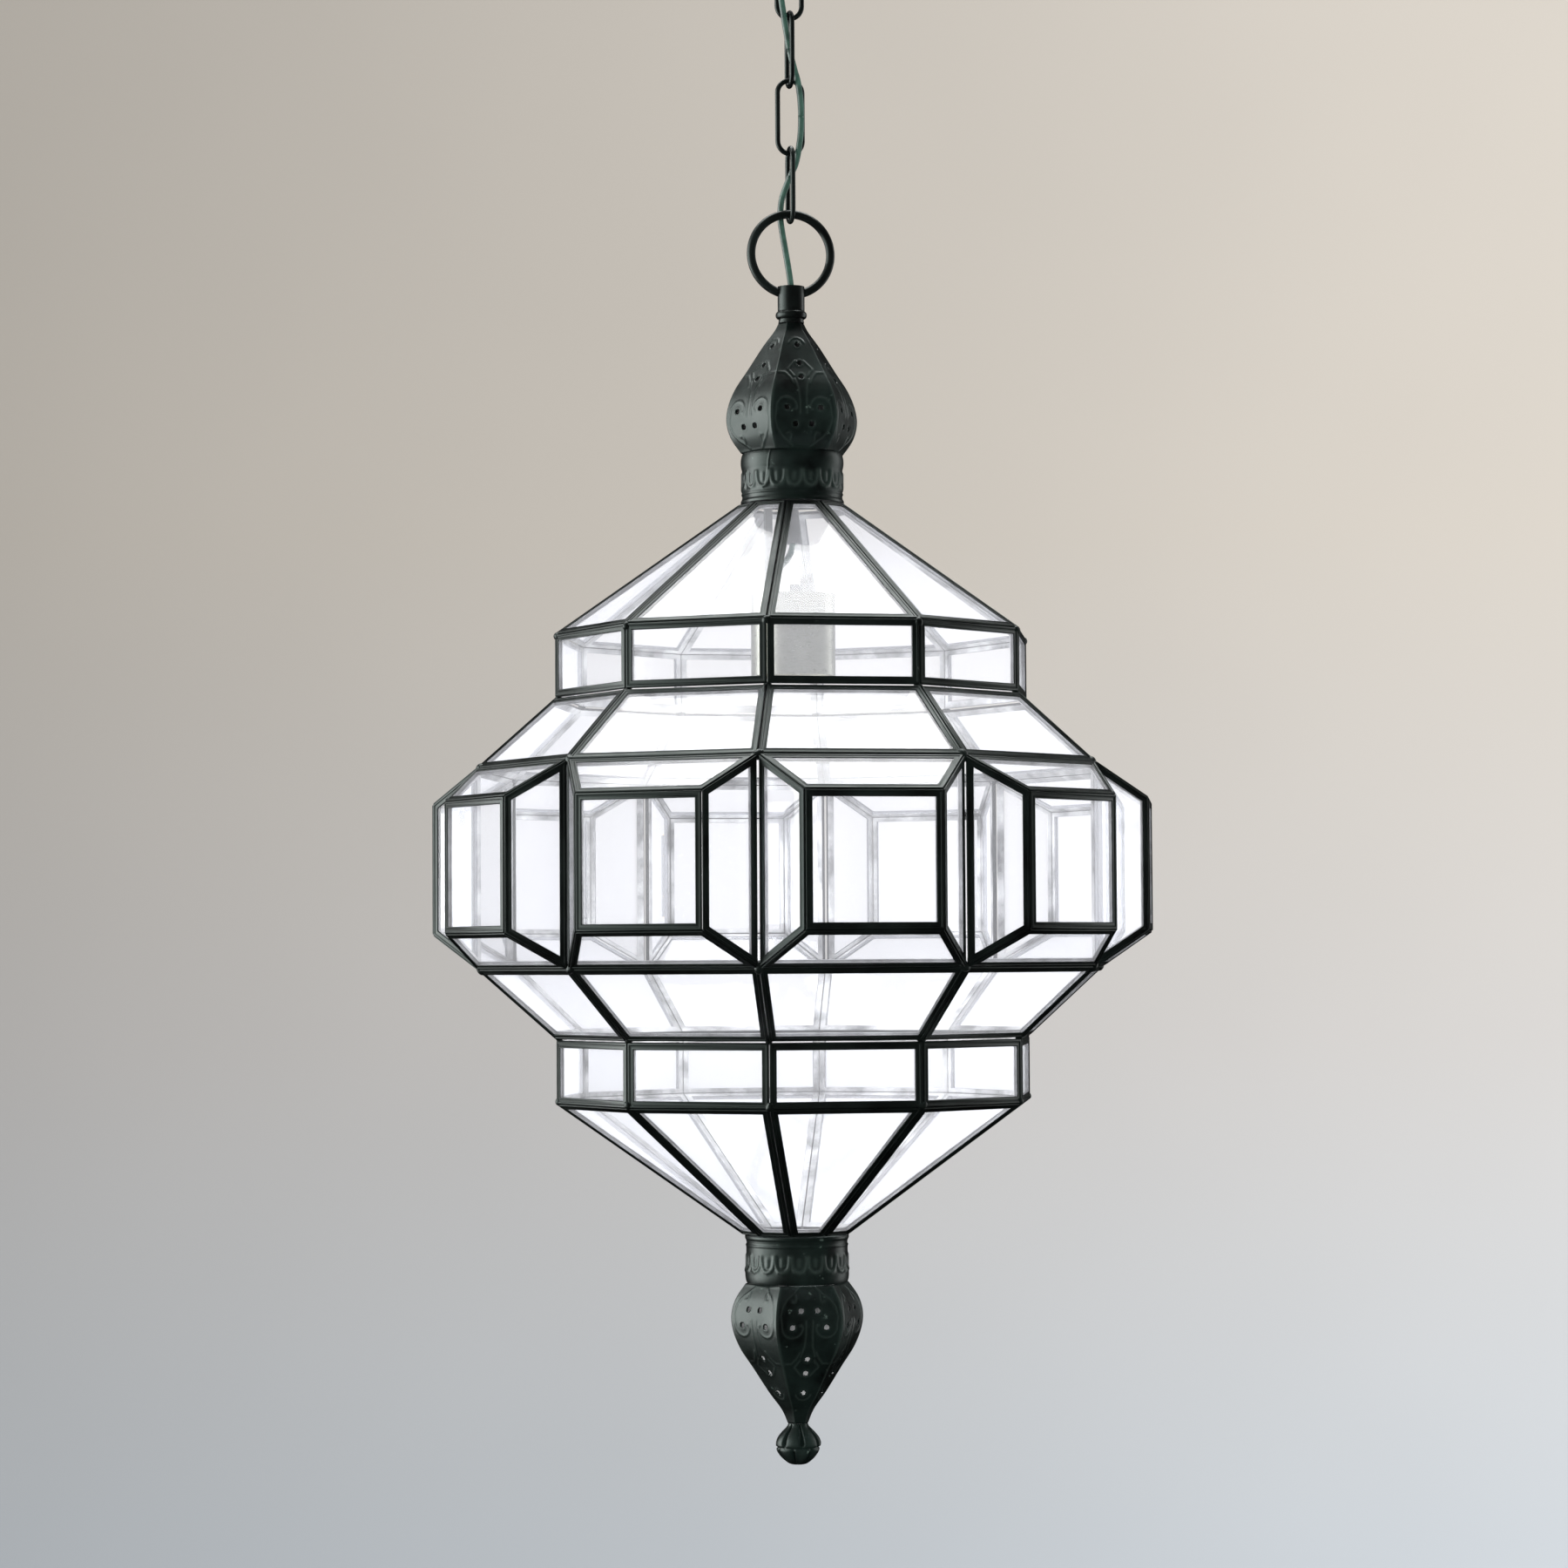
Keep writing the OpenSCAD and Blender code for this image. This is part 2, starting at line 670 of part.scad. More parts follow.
// A hinge knuckle between two heights, with a leaf turned by an angle to lie on a came
module knuckle(low, high, leaf_turn, leaf_l) {
    leaf_t = 0.8;
    difference() {
        union() {
            translate([0, 0, low]) cylinder(r = knuckle_r, h = high - low, $fn = 32);
            rotate([0, 0, leaf_turn]) translate([0, 0.05 - hinge_off, low])
                cube([leaf_l, leaf_t, high - low]);
        }
        translate([0, 0, low - 1]) cylinder(r = pin_r + 0.05, h = high - low + 2, $fn = 32);
    }
}

// The hinge is on the -X edge of the door, which faces +Y
module at_hinge() {
    from_middle() translate([-hinge_x, hinge_out, 0]) children();
}

module door_knuckle() {
    color(iron) at_hinge() knuckle(-knuckle_h, knuckle_h, 0, 5);
}
module body_knuckles() {
    color(iron) at_hinge() mirror([1, 0, 0])
        for (low = [knuckle_h + 0.3, -2 * knuckle_h - 0.3])
            knuckle(low, low + knuckle_h, -corner_angle(), 5);
}
module hinge_pin() {
    pin_h = 4 * knuckle_h + 2;
    color(brass) at_hinge() translate([0, 0, -pin_h / 2]) cylinder(r = pin_r, h = pin_h, $fn = 32);
}

// A bent tab on the door's free edge: it stops the door on the side came and is pulled to open it
module door_catch() {
    tab_t = 0.8;
    color(iron)
    from_middle() translate([face_w / 2, face_r + 0.05, -4])
        union() {
            translate([-4, 0, 0]) cube([7, tab_t, 8]);
            translate([2.2, 0, 0]) cube([tab_t, 5, 8]);
        }
}

// ---- Lamp holder ----

module lamp_lead() {
    color(cable_green) from_middle() route_tube(lead_route, 0, len(lead_route) - 1, cable_r);
}

// A tapered boot plugged into the rod's lower end, which grips the lead
module cord_grip() {
    plug_r = rod_bore_r - 0.05;
    color(steel)
    from_middle()
    rotate_extrude()
        polygon([
            [cable_r + 0.1, 180.5], [5.3, 180.5], [5.3, 182], [plug_r, end_z + 0.2],
            [plug_r, end_z + 8], [cable_r + 0.1, end_z + 8]
        ]);
}

// A bent strap from the cross bar down to the lamp holder, with a round hub at each end
module lamp_strap() {
    top = end_z + 2.6;
    low = cover_top_z + 0.1;
    color(steel)
    from_middle()
    rotate([0, 0, strap_turn])
    difference() {
        union() {
            translate([0, 0, top]) cylinder(r = 8.5, h = strap_t);
            translate([-strap_w / 2, 0, top]) cube([strap_w, strap_reach, strap_t]);
            translate([-strap_w / 2, strap_reach - strap_t, low])
                cube([strap_w, strap_t, top - low + strap_t]);
            translate([-strap_w / 2, 0, low]) cube([strap_w, strap_reach, strap_t]);
            translate([0, 0, low]) cylinder(r = 7, h = strap_t);
        }
        translate([0, 0, top - 1]) cylinder(r = rod_hole_r, h = 4);
        translate([0, 0, low - 1]) cylinder(r = 3.05, h = 4);
    }
}

module holder_bolt() {
    head_z = cover_top_z + strap_t + 0.2;
    color(steel)
    from_middle()
    union() {
        translate([0, 0, head_z]) cylinder(r = 5.6, h = 4, $fn = 6);
        translate([0, 0, head_z - 9]) cylinder(r = 3, h = 9.5);
    }
}

// The brushed cup, open below
module holder_cover() {
    roof = 1.2;
    color(nickel)
    from_middle()
    difference() {
        translate([0, 0, cover_bottom_z]) cylinder(r = cover_r, h = cover_h, $fn = 96);
        translate([0, 0, cover_bottom_z - 1])
            cylinder(r = cover_r - sheet_t, h = cover_h - roof + 1, $fn = 96);
        translate([0, 0, cover_top_z - 3]) cylinder(r = 3.1, h = 4);
        translate([lead_x, lead_y, cover_top_z - 3]) cylinder(r = 2.6, h = 4);
    }
}

module holder_insulator() {
    low = cover_bottom_z + 5.3;
    top = cover_top_z - 1.4;
    color(ceramic)
    from_middle()
    difference() {
        translate([0, 0, low]) cylinder(r = insulator_r, h = top - low);
        translate([0, 0, low - 1]) cylinder(r = socket_r + sheet_t + 0.1, h = shell_h + 3.8);
        translate([0, 0, top - 6.5]) cylinder(r = 3.05, h = 8);
        translate([lead_x, lead_y, top - 5]) cylinder(r = cable_r + 0.1, h = 8);
    }
}

module thread_shell() {
    color(brass) from_middle(shell_bottom_z) ring(socket_r + sheet_t, socket_r, shell_h);
}

module centre_contact() {
    color(brass) from_middle(shell_bottom_z + shell_h + 0.2) cylinder(r = 5, h = 1.6);
}

// ---- Bottom ----

module bottom_collar() {
    color(iron_green) from_middle(-collar_z) mirror([0, 0, 1]) collar(bottom_collar_h);
}

module bottom_dome() {
    color(iron_green) from_middle(-bottom_dome_z) mirror([0, 0, 1]) dome_shell();
}

module finial_knob() {
    outline = [for (q = smooth(finial_outline, 3)) [q[0] * finial_r, -q[1]]];
    color(iron)
    from_middle(-bottom_dome_z - dome_h - 0.1)
        rotate_extrude() polygon(concat([[0, 0]], outline, [[0, -finial_h]]));
}

ceiling_bracket();
canopy_nipple();
ceiling_canopy();
canopy_loop();
cable_bush();
terminal_block();
chain_link_4();
chain_link_3();
chain_link_2();
chain_link_1();
cable_canopy();
cable_link_4();
cable_link_3();
cable_link_2();
cable_stem();
hanging_hoop();
stem_tube();
neck_ring();
top_dome();
top_collar();
centre_rod();
cross_bar();
rod_nut();
upper_roof_frame();
upper_roof_glass();
upper_drum_frame();
upper_drum_glass();
upper_shoulder_frame();
upper_shoulder_glass();
box_top_frame();
box_top_glass();
box_face_frame();
box_face_glass();
box_side_frame();
box_side_glass();
box_bottom_frame();
box_bottom_glass();
lower_shoulder_frame();
lower_shoulder_glass();
lower_drum_frame();
lower_drum_glass();
lower_cone_frame();
lower_cone_glass();
door_frame();
door_glass();
door_knuckle();
body_knuckles();
hinge_pin();
door_catch();
lamp_lead();
cord_grip();
lamp_strap();
holder_bolt();
holder_cover();
holder_insulator();
thread_shell();
centre_contact();
bottom_collar();
bottom_dome();
finial_knob();
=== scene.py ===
"""The looks of a hanging lantern: glass panes in dark cames, pierced domes, a chain and a cable.

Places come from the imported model's boxes. Shapes repeat part.scad's lengths, in millimetres, which MM
turns to metres.
"""
import json
import math

import bmesh
import bpy
from mathutils import Matrix, Vector


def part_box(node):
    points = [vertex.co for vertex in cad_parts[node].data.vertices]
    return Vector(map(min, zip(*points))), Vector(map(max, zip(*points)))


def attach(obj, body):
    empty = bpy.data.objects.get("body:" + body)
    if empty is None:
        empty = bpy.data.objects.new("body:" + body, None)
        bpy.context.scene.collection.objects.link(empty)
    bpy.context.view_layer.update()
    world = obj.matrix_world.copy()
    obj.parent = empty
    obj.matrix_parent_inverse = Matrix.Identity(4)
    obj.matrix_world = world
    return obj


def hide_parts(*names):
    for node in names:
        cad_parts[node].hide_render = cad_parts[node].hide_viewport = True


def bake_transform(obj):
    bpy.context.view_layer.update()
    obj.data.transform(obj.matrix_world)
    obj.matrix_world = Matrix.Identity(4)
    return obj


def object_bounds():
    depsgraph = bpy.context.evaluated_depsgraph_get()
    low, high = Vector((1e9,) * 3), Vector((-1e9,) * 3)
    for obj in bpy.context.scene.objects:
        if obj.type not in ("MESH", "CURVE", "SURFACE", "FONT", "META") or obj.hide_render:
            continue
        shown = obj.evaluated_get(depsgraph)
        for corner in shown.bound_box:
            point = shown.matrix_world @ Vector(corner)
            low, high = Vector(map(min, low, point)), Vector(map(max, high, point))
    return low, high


MM = 0.001
UP = Vector((0, 0, 1))
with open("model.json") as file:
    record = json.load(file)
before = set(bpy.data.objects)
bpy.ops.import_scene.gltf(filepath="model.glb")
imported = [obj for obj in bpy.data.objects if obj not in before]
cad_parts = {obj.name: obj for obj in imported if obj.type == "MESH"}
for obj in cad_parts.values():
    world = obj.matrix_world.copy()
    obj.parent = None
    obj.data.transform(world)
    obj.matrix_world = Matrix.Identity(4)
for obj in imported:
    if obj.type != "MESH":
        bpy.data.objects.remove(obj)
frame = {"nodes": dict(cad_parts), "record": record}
cad_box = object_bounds()
SLOT_OF = {part["node"]: part["material_slot"] for part in frame["record"]["subparts"]}

# ---- Places taken from the frame ----

MID_Z = (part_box("box_face_frame")[0].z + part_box("box_face_frame")[1].z) / 2

# ---- Camera ----

# The camera stands a little below the boxes' middle and aims a little above and left of it
CAMERA_AZIMUTH = math.radians(-12)
CAMERA_DISTANCE = 2287 * MM
CAMERA_DROP = 52 * MM
AIM_LEFT = 5.6 * MM
AIM_RISE = 46.8 * MM
CAMERA_ROLL = math.radians(-0.35)
LENS = 94.7
SENSOR_WIDTH = 36
CLIP = (0.05, 60)


def make_camera():
    data = bpy.data.cameras.new("camera")
    data.lens = LENS
    data.sensor_width = SENSOR_WIDTH
    data.clip_start, data.clip_end = CLIP
    camera = bpy.data.objects.new("camera", data)
    bpy.context.scene.collection.objects.link(camera)
    back = Vector((math.sin(CAMERA_AZIMUTH), -math.cos(CAMERA_AZIMUTH), 0))
    right = Vector((math.cos(CAMERA_AZIMUTH), math.sin(CAMERA_AZIMUTH), 0))
    place = back * CAMERA_DISTANCE + UP * (MID_Z - CAMERA_DROP)
    aim = UP * (MID_Z + AIM_RISE) - right * AIM_LEFT
    turn = (aim - place).to_track_quat("-Z", "Y").to_matrix().to_4x4()
    camera.matrix_world = Matrix.Translation(place) @ turn @ Matrix.Rotation(CAMERA_ROLL, 4, "Z")
    bpy.context.scene.camera = camera


make_camera()

# ---- Node materials ----


def new_material(name):
    material = bpy.data.materials.new(name)
    material.use_nodes = True
    material.node_tree.nodes.clear()
    return material


def node(tree, kind, **values):
    made = tree.nodes.new(kind)
    for key, value in values.items():
        setattr(made, key, value)
    return made


def noise_value(tree, scale, detail=4, roughness=0.55, stretch=(1, 1, 1)):
    """The value of a noise, fixed to the object's own coordinates."""
    where = node(tree, "ShaderNodeTexCoord")
    mapping = node(tree, "ShaderNodeMapping")
    mapping.inputs["Scale"].default_value = stretch
    texture = node(tree, "ShaderNodeTexNoise")
    texture.inputs["Scale"].default_value = scale
    texture.inputs["Detail"].default_value = detail
    texture.inputs["Roughness"].default_value = roughness
    tree.links.new(where.outputs["Object"], mapping.inputs["Vector"])
    tree.links.new(mapping.outputs["Vector"], texture.inputs["Vector"])
    return texture.outputs["Fac"]


def ramp(tree, value, *stops):
    """A colour ramp over value, with (position, colour) stops."""
    made = node(tree, "ShaderNodeValToRGB")
    elements = made.color_ramp.elements
    while len(elements) > 1:
        elements.remove(elements[0])
    for index, (position, colour) in enumerate(stops):
        element = elements[0] if index == 0 else elements.new(position)
        element.position = position
        element.color = (*colour, 1)
    tree.links.new(value, made.inputs["Fac"])
    return made.outputs["Color"]


def spread(tree, value, low, high, at_low=0.3, at_high=0.7):
    """value between at_low and at_high, spread to run from low to high."""
    made = node(tree, "ShaderNodeMapRange")
    made.inputs["From Min"].default_value = at_low
    made.inputs["From Max"].default_value = at_high
    made.inputs["To Min"].default_value = low
    made.inputs["To Max"].default_value = high
    tree.links.new(value, made.inputs["Value"])
    return made.outputs["Result"]


# Places of a mix node's colour sockets
MIX_FIRST = 6
MIX_SECOND = 7
MIX_RESULT = 2


def feed(tree, socket, source):
    """Links a socket to another one, or sets it to a number or a colour."""
    if isinstance(source, bpy.types.NodeSocket):
        tree.links.new(source, socket)
    else:
        socket.default_value = source


def mix_colour(tree, factor, first, second, blend="MIX"):
    made = node(tree, "ShaderNodeMix", data_type="RGBA", blend_type=blend)
    feed(tree, made.inputs["Factor"], factor)
    feed(tree, made.inputs[MIX_FIRST], first)
    feed(tree, made.inputs[MIX_SECOND], second)
    return made.outputs[MIX_RESULT]


def bump(tree, height, strength, distance):
    made = node(tree, "ShaderNodeBump")
    made.inputs["Strength"].default_value = strength
    made.inputs["Distance"].default_value = distance
    tree.links.new(height, made.inputs["Height"])
    return made.outputs["Normal"]


def finish_material(tree, colour, roughness, normal=None, **sockets):
    """A Principled shader with linked colour and roughness, and constants on its other sockets."""
    shader = node(tree, "ShaderNodeBsdfPrincipled")
    output = node(tree, "ShaderNodeOutputMaterial")
    tree.links.new(colour, shader.inputs["Base Color"])
    tree.links.new(roughness, shader.inputs["Roughness"])
    if normal is not None:
        tree.links.new(normal, shader.inputs["Normal"])
    for name, value in sockets.items():
        shader.inputs[name.replace("_", " ")].default_value = value
    tree.links.new(shader.outputs["BSDF"], output.inputs["Surface"])


# How much the wear values lighten the metal: real wear on raised lines, and a painted highlight on the
# domes' ridges
EDGE_WEAR_AND_HIGHLIGHT = 0.05
PATINA_GLOSS = 0.26
PATINA_SHEEN = (0.82, 1.0, 0.93, 1)


def patina(name, dark, tint, bare, bare_from):
    """Blackened metal: a dark skin with a tinted bloom, bare metal where it has rubbed through, and the same
    bare colour painted along the domes' ridges as a highlight.
    """
    material = new_material(name)
    tree = material.node_tree
    clouds = noise_value(tree, 38, detail=6, roughness=0.6)
    grain = noise_value(tree, 420, detail=5)
    halfway = tuple((d + t) / 2 for d, t in zip(dark, tint))
    skin = ramp(tree, clouds, (0.36, dark), (0.5, halfway), (0.68, tint))
    rubbed = noise_value(tree, 160, detail=8, roughness=0.7)
    amount = spread(tree, rubbed, 0, 0.6, bare_from, bare_from + 0.12)
    # The wear values hold real wear on raised lines and a painted highlight along the domes' ridges
    wear_and_highlight = node(tree, "ShaderNodeAttribute", attribute_name="wear_and_highlight")
    worn_and_highlight = node(tree, "ShaderNodeMath", operation="MULTIPLY_ADD")
    worn_and_highlight.inputs[1].default_value = EDGE_WEAR_AND_HIGHLIGHT
    tree.links.new(wear_and_highlight.outputs["Fac"], worn_and_highlight.inputs[0])
    tree.links.new(amount, worn_and_highlight.inputs[2])
    colour = mix_colour(tree, worn_and_highlight.outputs[0], skin, (*bare, 1))
    roughness = spread(tree, clouds, 0.30, 0.48)
    normal = bump(tree, grain, 0.35, 0.12 * MM)
    finish_material(
        tree, colour, roughness, normal, Specular_IOR_Level=PATINA_GLOSS, Specular_Tint=PATINA_SHEEN,
    )
    return material


def grained(name, clouds, stops, grain, gloss, relief, metallic=0.0):
    """Soft colour clouds, with a fine grain in the roughness and in the relief.

    clouds and grain are settings of a noise, stops the clouds' colours, gloss the least and most
    roughness, and relief a bump's strength and its height in millimetres.
    """
    material = new_material(name)
    tree = material.node_tree
    colour = ramp(tree, noise_value(tree, **clouds), *stops)
    fine = noise_value(tree, **grain)
    strength, height = relief
    normal = bump(tree, fine, strength, height * MM)
    finish_material(tree, colour, spread(tree, fine, *gloss), normal, Metallic=metallic)
    return material


def tinned(name, *greys):
    """A soldered or tinned inner side, silver-grey with dull streaks, from three greys."""
    stops = [(position, (value, value, value)) for position, value in zip((0.34, 0.46, 0.7), greys)]
    return grained(
        name, {"scale": 34, "detail": 7, "roughness": 0.65}, stops, {"scale": 300, "detail": 5},
        gloss=(0.28, 0.5), relief=(0.4, 0.15), metallic=0.3,
    )


# The milky share of a pane that is looked at straight on, and how it grows as the look slants
GLASS_HAZE = 0.1
SLANT_HAZE = 0.35
SLANT_POWER = 4
PANE_IOR = 2.6
PANE_ROUGHNESS = 0.06
PANE_TINT = (0.978, 0.985, 1.0, 1)


def make_glass():
    """Clear sheet glass with a pale bloom: mostly see-through, with a milky share and a gloss."""
    material = new_material("pane_glass")
    tree = material.node_tree
    clear = node(tree, "ShaderNodeBsdfTransparent")
    clear.inputs["Color"].default_value = PANE_TINT
    shader = node(tree, "ShaderNodeBsdfPrincipled")
    shader.inputs["Roughness"].default_value = PANE_ROUGHNESS
    shader.inputs["IOR"].default_value = PANE_IOR
    waves = noise_value(tree, 9, detail=2)
    tint = ramp(tree, waves, (0.3, (0.94, 0.94, 0.985)), (0.7, (0.98, 0.98, 1.0)))
    tree.links.new(tint, shader.inputs["Base Color"])
    tree.links.new(bump(tree, waves, 0.25, 0.5 * MM), shader.inputs["Normal"])
    slant = node(tree, "ShaderNodeLayerWeight")
    slant.inputs["Blend"].default_value = 0.5
    rise = node(tree, "ShaderNodeMath", operation="POWER")
    rise.inputs[1].default_value = SLANT_POWER
    tree.links.new(slant.outputs["Facing"], rise.inputs[0])
    share = node(tree, "ShaderNodeMath", operation="MULTIPLY_ADD")
    share.inputs[1].default_value = SLANT_HAZE
    share.inputs[2].default_value = GLASS_HAZE
    tree.links.new(rise.outputs[0], share.inputs[0])
    mixed = node(tree, "ShaderNodeMixShader")
    output = node(tree, "ShaderNodeOutputMaterial")
    tree.links.new(share.outputs[0], mixed.inputs["Fac"])
    tree.links.new(clear.outputs["BSDF"], mixed.inputs[1])
    tree.links.new(shader.outputs["BSDF"], mixed.inputs[2])
    tree.links.new(mixed.outputs["Shader"], output.inputs["Surface"])
    return material


MATERIALS = {
    "iron": patina("iron", (0.0012, 0.0013, 0.0013), (0.0028, 0.0044, 0.0038), (0.07, 0.08, 0.075), 0.66),
    "green_iron": patina(
        "green_iron", (0.0010, 0.0012, 0.0012), (0.0036, 0.0074, 0.0062), (0.12, 0.17, 0.145), 0.64,
    ),
    "glass": make_glass(),
    "steel": grained(
        "steel", {"scale": 70, "detail": 6}, [(0.35, (0.08, 0.085, 0.08)), (0.7, (0.16, 0.165, 0.16))],
        {"scale": 500}, gloss=(0.34, 0.52), relief=(0.3, 0.08), metallic=0.9,
    ),
    "tin": tinned("solder_tin", 0.025, 0.16, 0.44),
    # A lighter copy of the same tin for the lower dome's inside: painted light, standing in for light seen
    # through its holes
    "tin_painted_lit": tinned("tin_with_painted_light", 0.35, 0.5, 0.7),
    "nickel": grained(
        "nickel", {"scale": 26}, [(0.35, (0.23, 0.23, 0.19)), (0.7, (0.30, 0.30, 0.25))],
        {"scale": 240, "detail": 6, "stretch": (1, 1, 9)}, gloss=(0.26, 0.36), relief=(0.06, 0.03),
        metallic=0.82,
    ),
    "brass": grained(
        "brass", {"scale": 90, "detail": 6}, [(0.35, (0.50, 0.33, 0.12)), (0.7, (0.66, 0.47, 0.20))],
        {"scale": 500}, gloss=(0.22, 0.40), relief=(0.2, 0.06), metallic=1.0,
    ),
    "cable": grained(
        "cable_skin", {"scale": 150, "detail": 5},
        [(0.35, (0.008, 0.030, 0.021)), (0.7, (0.022, 0.066, 0.047))],
        {"scale": 900}, gloss=(0.38, 0.55), relief=(0.3, 0.06),
    ),
    "ceramic": grained(
        "ceramic", {"scale": 60}, [(0.3, (0.72, 0.69, 0.62)), (0.7, (0.82, 0.80, 0.74))],
        {"scale": 260}, gloss=(0.18, 0.34), relief=(0.15, 0.05),
    ),
}

# ---- Mesh helpers ----


def piece_from(name, points, faces, slot):
    mesh = bpy.data.meshes.new(name)
    mesh.from_pydata([tuple(p) for p in points], [], faces)
    mesh.validate()
    for polygon in mesh.polygons:
        polygon.use_smooth = True
    mesh.materials.append(MATERIALS[slot])
    piece = bpy.data.objects.new(name, mesh)
    bpy.context.scene.collection.objects.link(piece)
    return piece


def smooth_route(points, steps):
    """A smooth curve through points, with steps stretches between each two."""
    curve = []
    for i in range(len(points) - 1):
        a = points[max(i - 1, 0)]
        b = points[i]
        c = points[i + 1]
        d = points[min(i + 2, len(points) - 1)]
        for s in range(steps):
            t = s / steps
            curve.append(0.5 * (2 * b + (c - a) * t + (2 * a - 5 * b + 4 * c - d) * t ** 2
                                + (3 * b - a - 3 * c + d) * t ** 3))
    curve.append(points[-1].copy())
    return curve


def route_length(points):
    return sum((b - a).length for a, b in zip(points, points[1:]))


def tube_mesh(points, radius, sides, closed):
    """A tube along a route, kept from twisting, as points and faces."""
    count = len(points)
    side = None
    rings = []
    for i, point in enumerate(points):
        ahead = points[(i + 1) % count] if closed or i < count - 1 else points[i]
        behind = points[i - 1] if closed or i > 0 else points[i]
        along = (ahead - behind).normalized()
        if side is None:
            side = along.orthogonal().normalized()
        side = (side - along * side.dot(along)).normalized()
        other = along.cross(side)
        for s in range(sides):
            angle = 2 * math.pi * s / sides
            rings.append(point + radius * (math.cos(angle) * side + math.sin(angle) * other))
    faces = []
    for i in range(count if closed else count - 1):
        j = (i + 1) % count
        for s in range(sides):
            e = (s + 1) % sides
            faces.append((i * sides + s, i * sides + e, j * sides + e, j * sides + s))
    if not closed:
        faces.append(tuple(reversed(range(sides))))
        faces.append(tuple((count - 1) * sides + s for s in range(sides)))
    return rings, faces


# ---- Supply cable, cut where the chain's links are half way down ----

# Millimetres from the ceiling, as in the CAD
CABLE_ROUTE = [
    (0, 0, -250.8), (0, 0, -243), (-1, 0.5, -234), (-2.6, 2, -222), (-4, 4, -211),
    (-4.8, 5, -202), (-4.2, 4, -193), (-2.2, 2, -186),
    (0, 0, -180), (2.6, -1.8, -173.5), (4, -3.5, -166), (5.2, -3.6, -157),
    (5.6, -3.6, -147), (5.2, -3.6, -137), (4, -3.5, -128), (2.4, -1.8, -120.5),
    (0, 0, -109), (-2.4, -1.8, -97.5), (-4, -3.5, -90), (-5.4, -3.6, -80),
    (-5.8, -3.6, -70), (-6, -4, -60), (-7, -4, -50), (-10, -2.5, -40),
    (-13, 0, -31), (-13, 0, -24), (-13, 1.5, -17), (-13, 5, -11), (-13, 10, -8), (-13, 15, -7.5),
]
# Millimetres from the boxes' middle, as in the CAD
LEAD_ROUTE = [
    (0, 0, 315), (0, 0, 300), (0, 0, 290), (0, 0, 280), (0, 0, 270), (0, 0, 260), (0, 0, 250), (0, 0, 240),
    (0, 0, 230), (0, 0, 220), (0, 0, 210), (0, 0, 200), (0, 0, 190), (0, 0, 181), (-1, -0.5, 176),
    (-4, -2.5, 171), (-8, -5.5, 167), (-10.5, -7.5, 162), (-11, -8, 157), (-11, -8, 151), (-11, -8, 146),
]
CABLE_RADIUS = 1.75 * MM
CABLE_SIDES = 16
ROUTE_STEPS = 6
# Each piece: its node, the route's points where it starts and ends, and the joint that bends it
CABLE_PIECES = [
    ("cable_stem", 0, 8, "hoop_turn"),
    ("cable_link_2", 8, 12, "lower_link_swing"),
    ("cable_link_3", 12, 16, "middle_link_swing"),
    ("cable_link_4", 16, 20, "upper_link_swing"),
    ("cable_canopy", 20, 29, "rose_link_swing"),
]


def make_cables():
    route = smooth_route([Vector(p) * MM for p in CABLE_ROUTE], ROUTE_STEPS)
    for name, first, last, joint_name in CABLE_PIECES:
        path = route[first * ROUTE_STEPS:last * ROUTE_STEPS + 1]
        points, faces = tube_mesh(path, CABLE_RADIUS, CABLE_SIDES, closed=False)
        piece = piece_from(name + "_skin", points, faces, "cable")
        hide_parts(name)
        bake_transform(piece)


def make_lead():
    path = smooth_route([Vector(p) * MM + UP * MID_Z for p in LEAD_ROUTE], ROUTE_STEPS)
    points, faces = tube_mesh(path, CABLE_RADIUS, CABLE_SIDES, closed=False)
    piece = piece_from("lamp_lead_skin", points, faces, "cable")
    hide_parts("lamp_lead")
    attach(piece, "lantern")


make_cables()
make_lead()

# ---- Cames ----

SIDES = 10
TURN = 2 * math.pi / SIDES
DOOR_NUMBER = 5
END_RING_R = 30 * MM
FACE_W = 73 * MM
# Millimetres: a came's width and depth, and the gap beside a fixed came and beside the door's
CAME_W = 4.2
CAME_T = 3.0
SEAM = 0.1
DOOR_PLAY = 0.4
DRUM_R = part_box("upper_drum_frame")[1].x
VALLEY_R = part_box("upper_shoulder_frame")[1].x
FACE_R = -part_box("box_face_frame")[0].y
FACE_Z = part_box("box_face_frame")[1].z - MID_Z
VALLEY_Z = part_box("box_side_frame")[1].z - MID_Z
DRUM_IN_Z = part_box("upper_drum_frame")[0].z - MID_Z
DRUM_OUT_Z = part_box("upper_drum_frame")[1].z - MID_Z
END_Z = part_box("upper_roof_frame")[1].z - MID_Z


def quarter(centre_d, centre_t, radius, first, last, from_seam, steps=5):
    """Part of a round edge in a came's section."""
    return [
        (from_seam,
         centre_d + radius * math.cos(math.radians(first + (last - first) * i / steps)),
         centre_t + radius * math.sin(math.radians(first + (last - first) * i / steps)))
        for i in range(steps + 1)
    ]


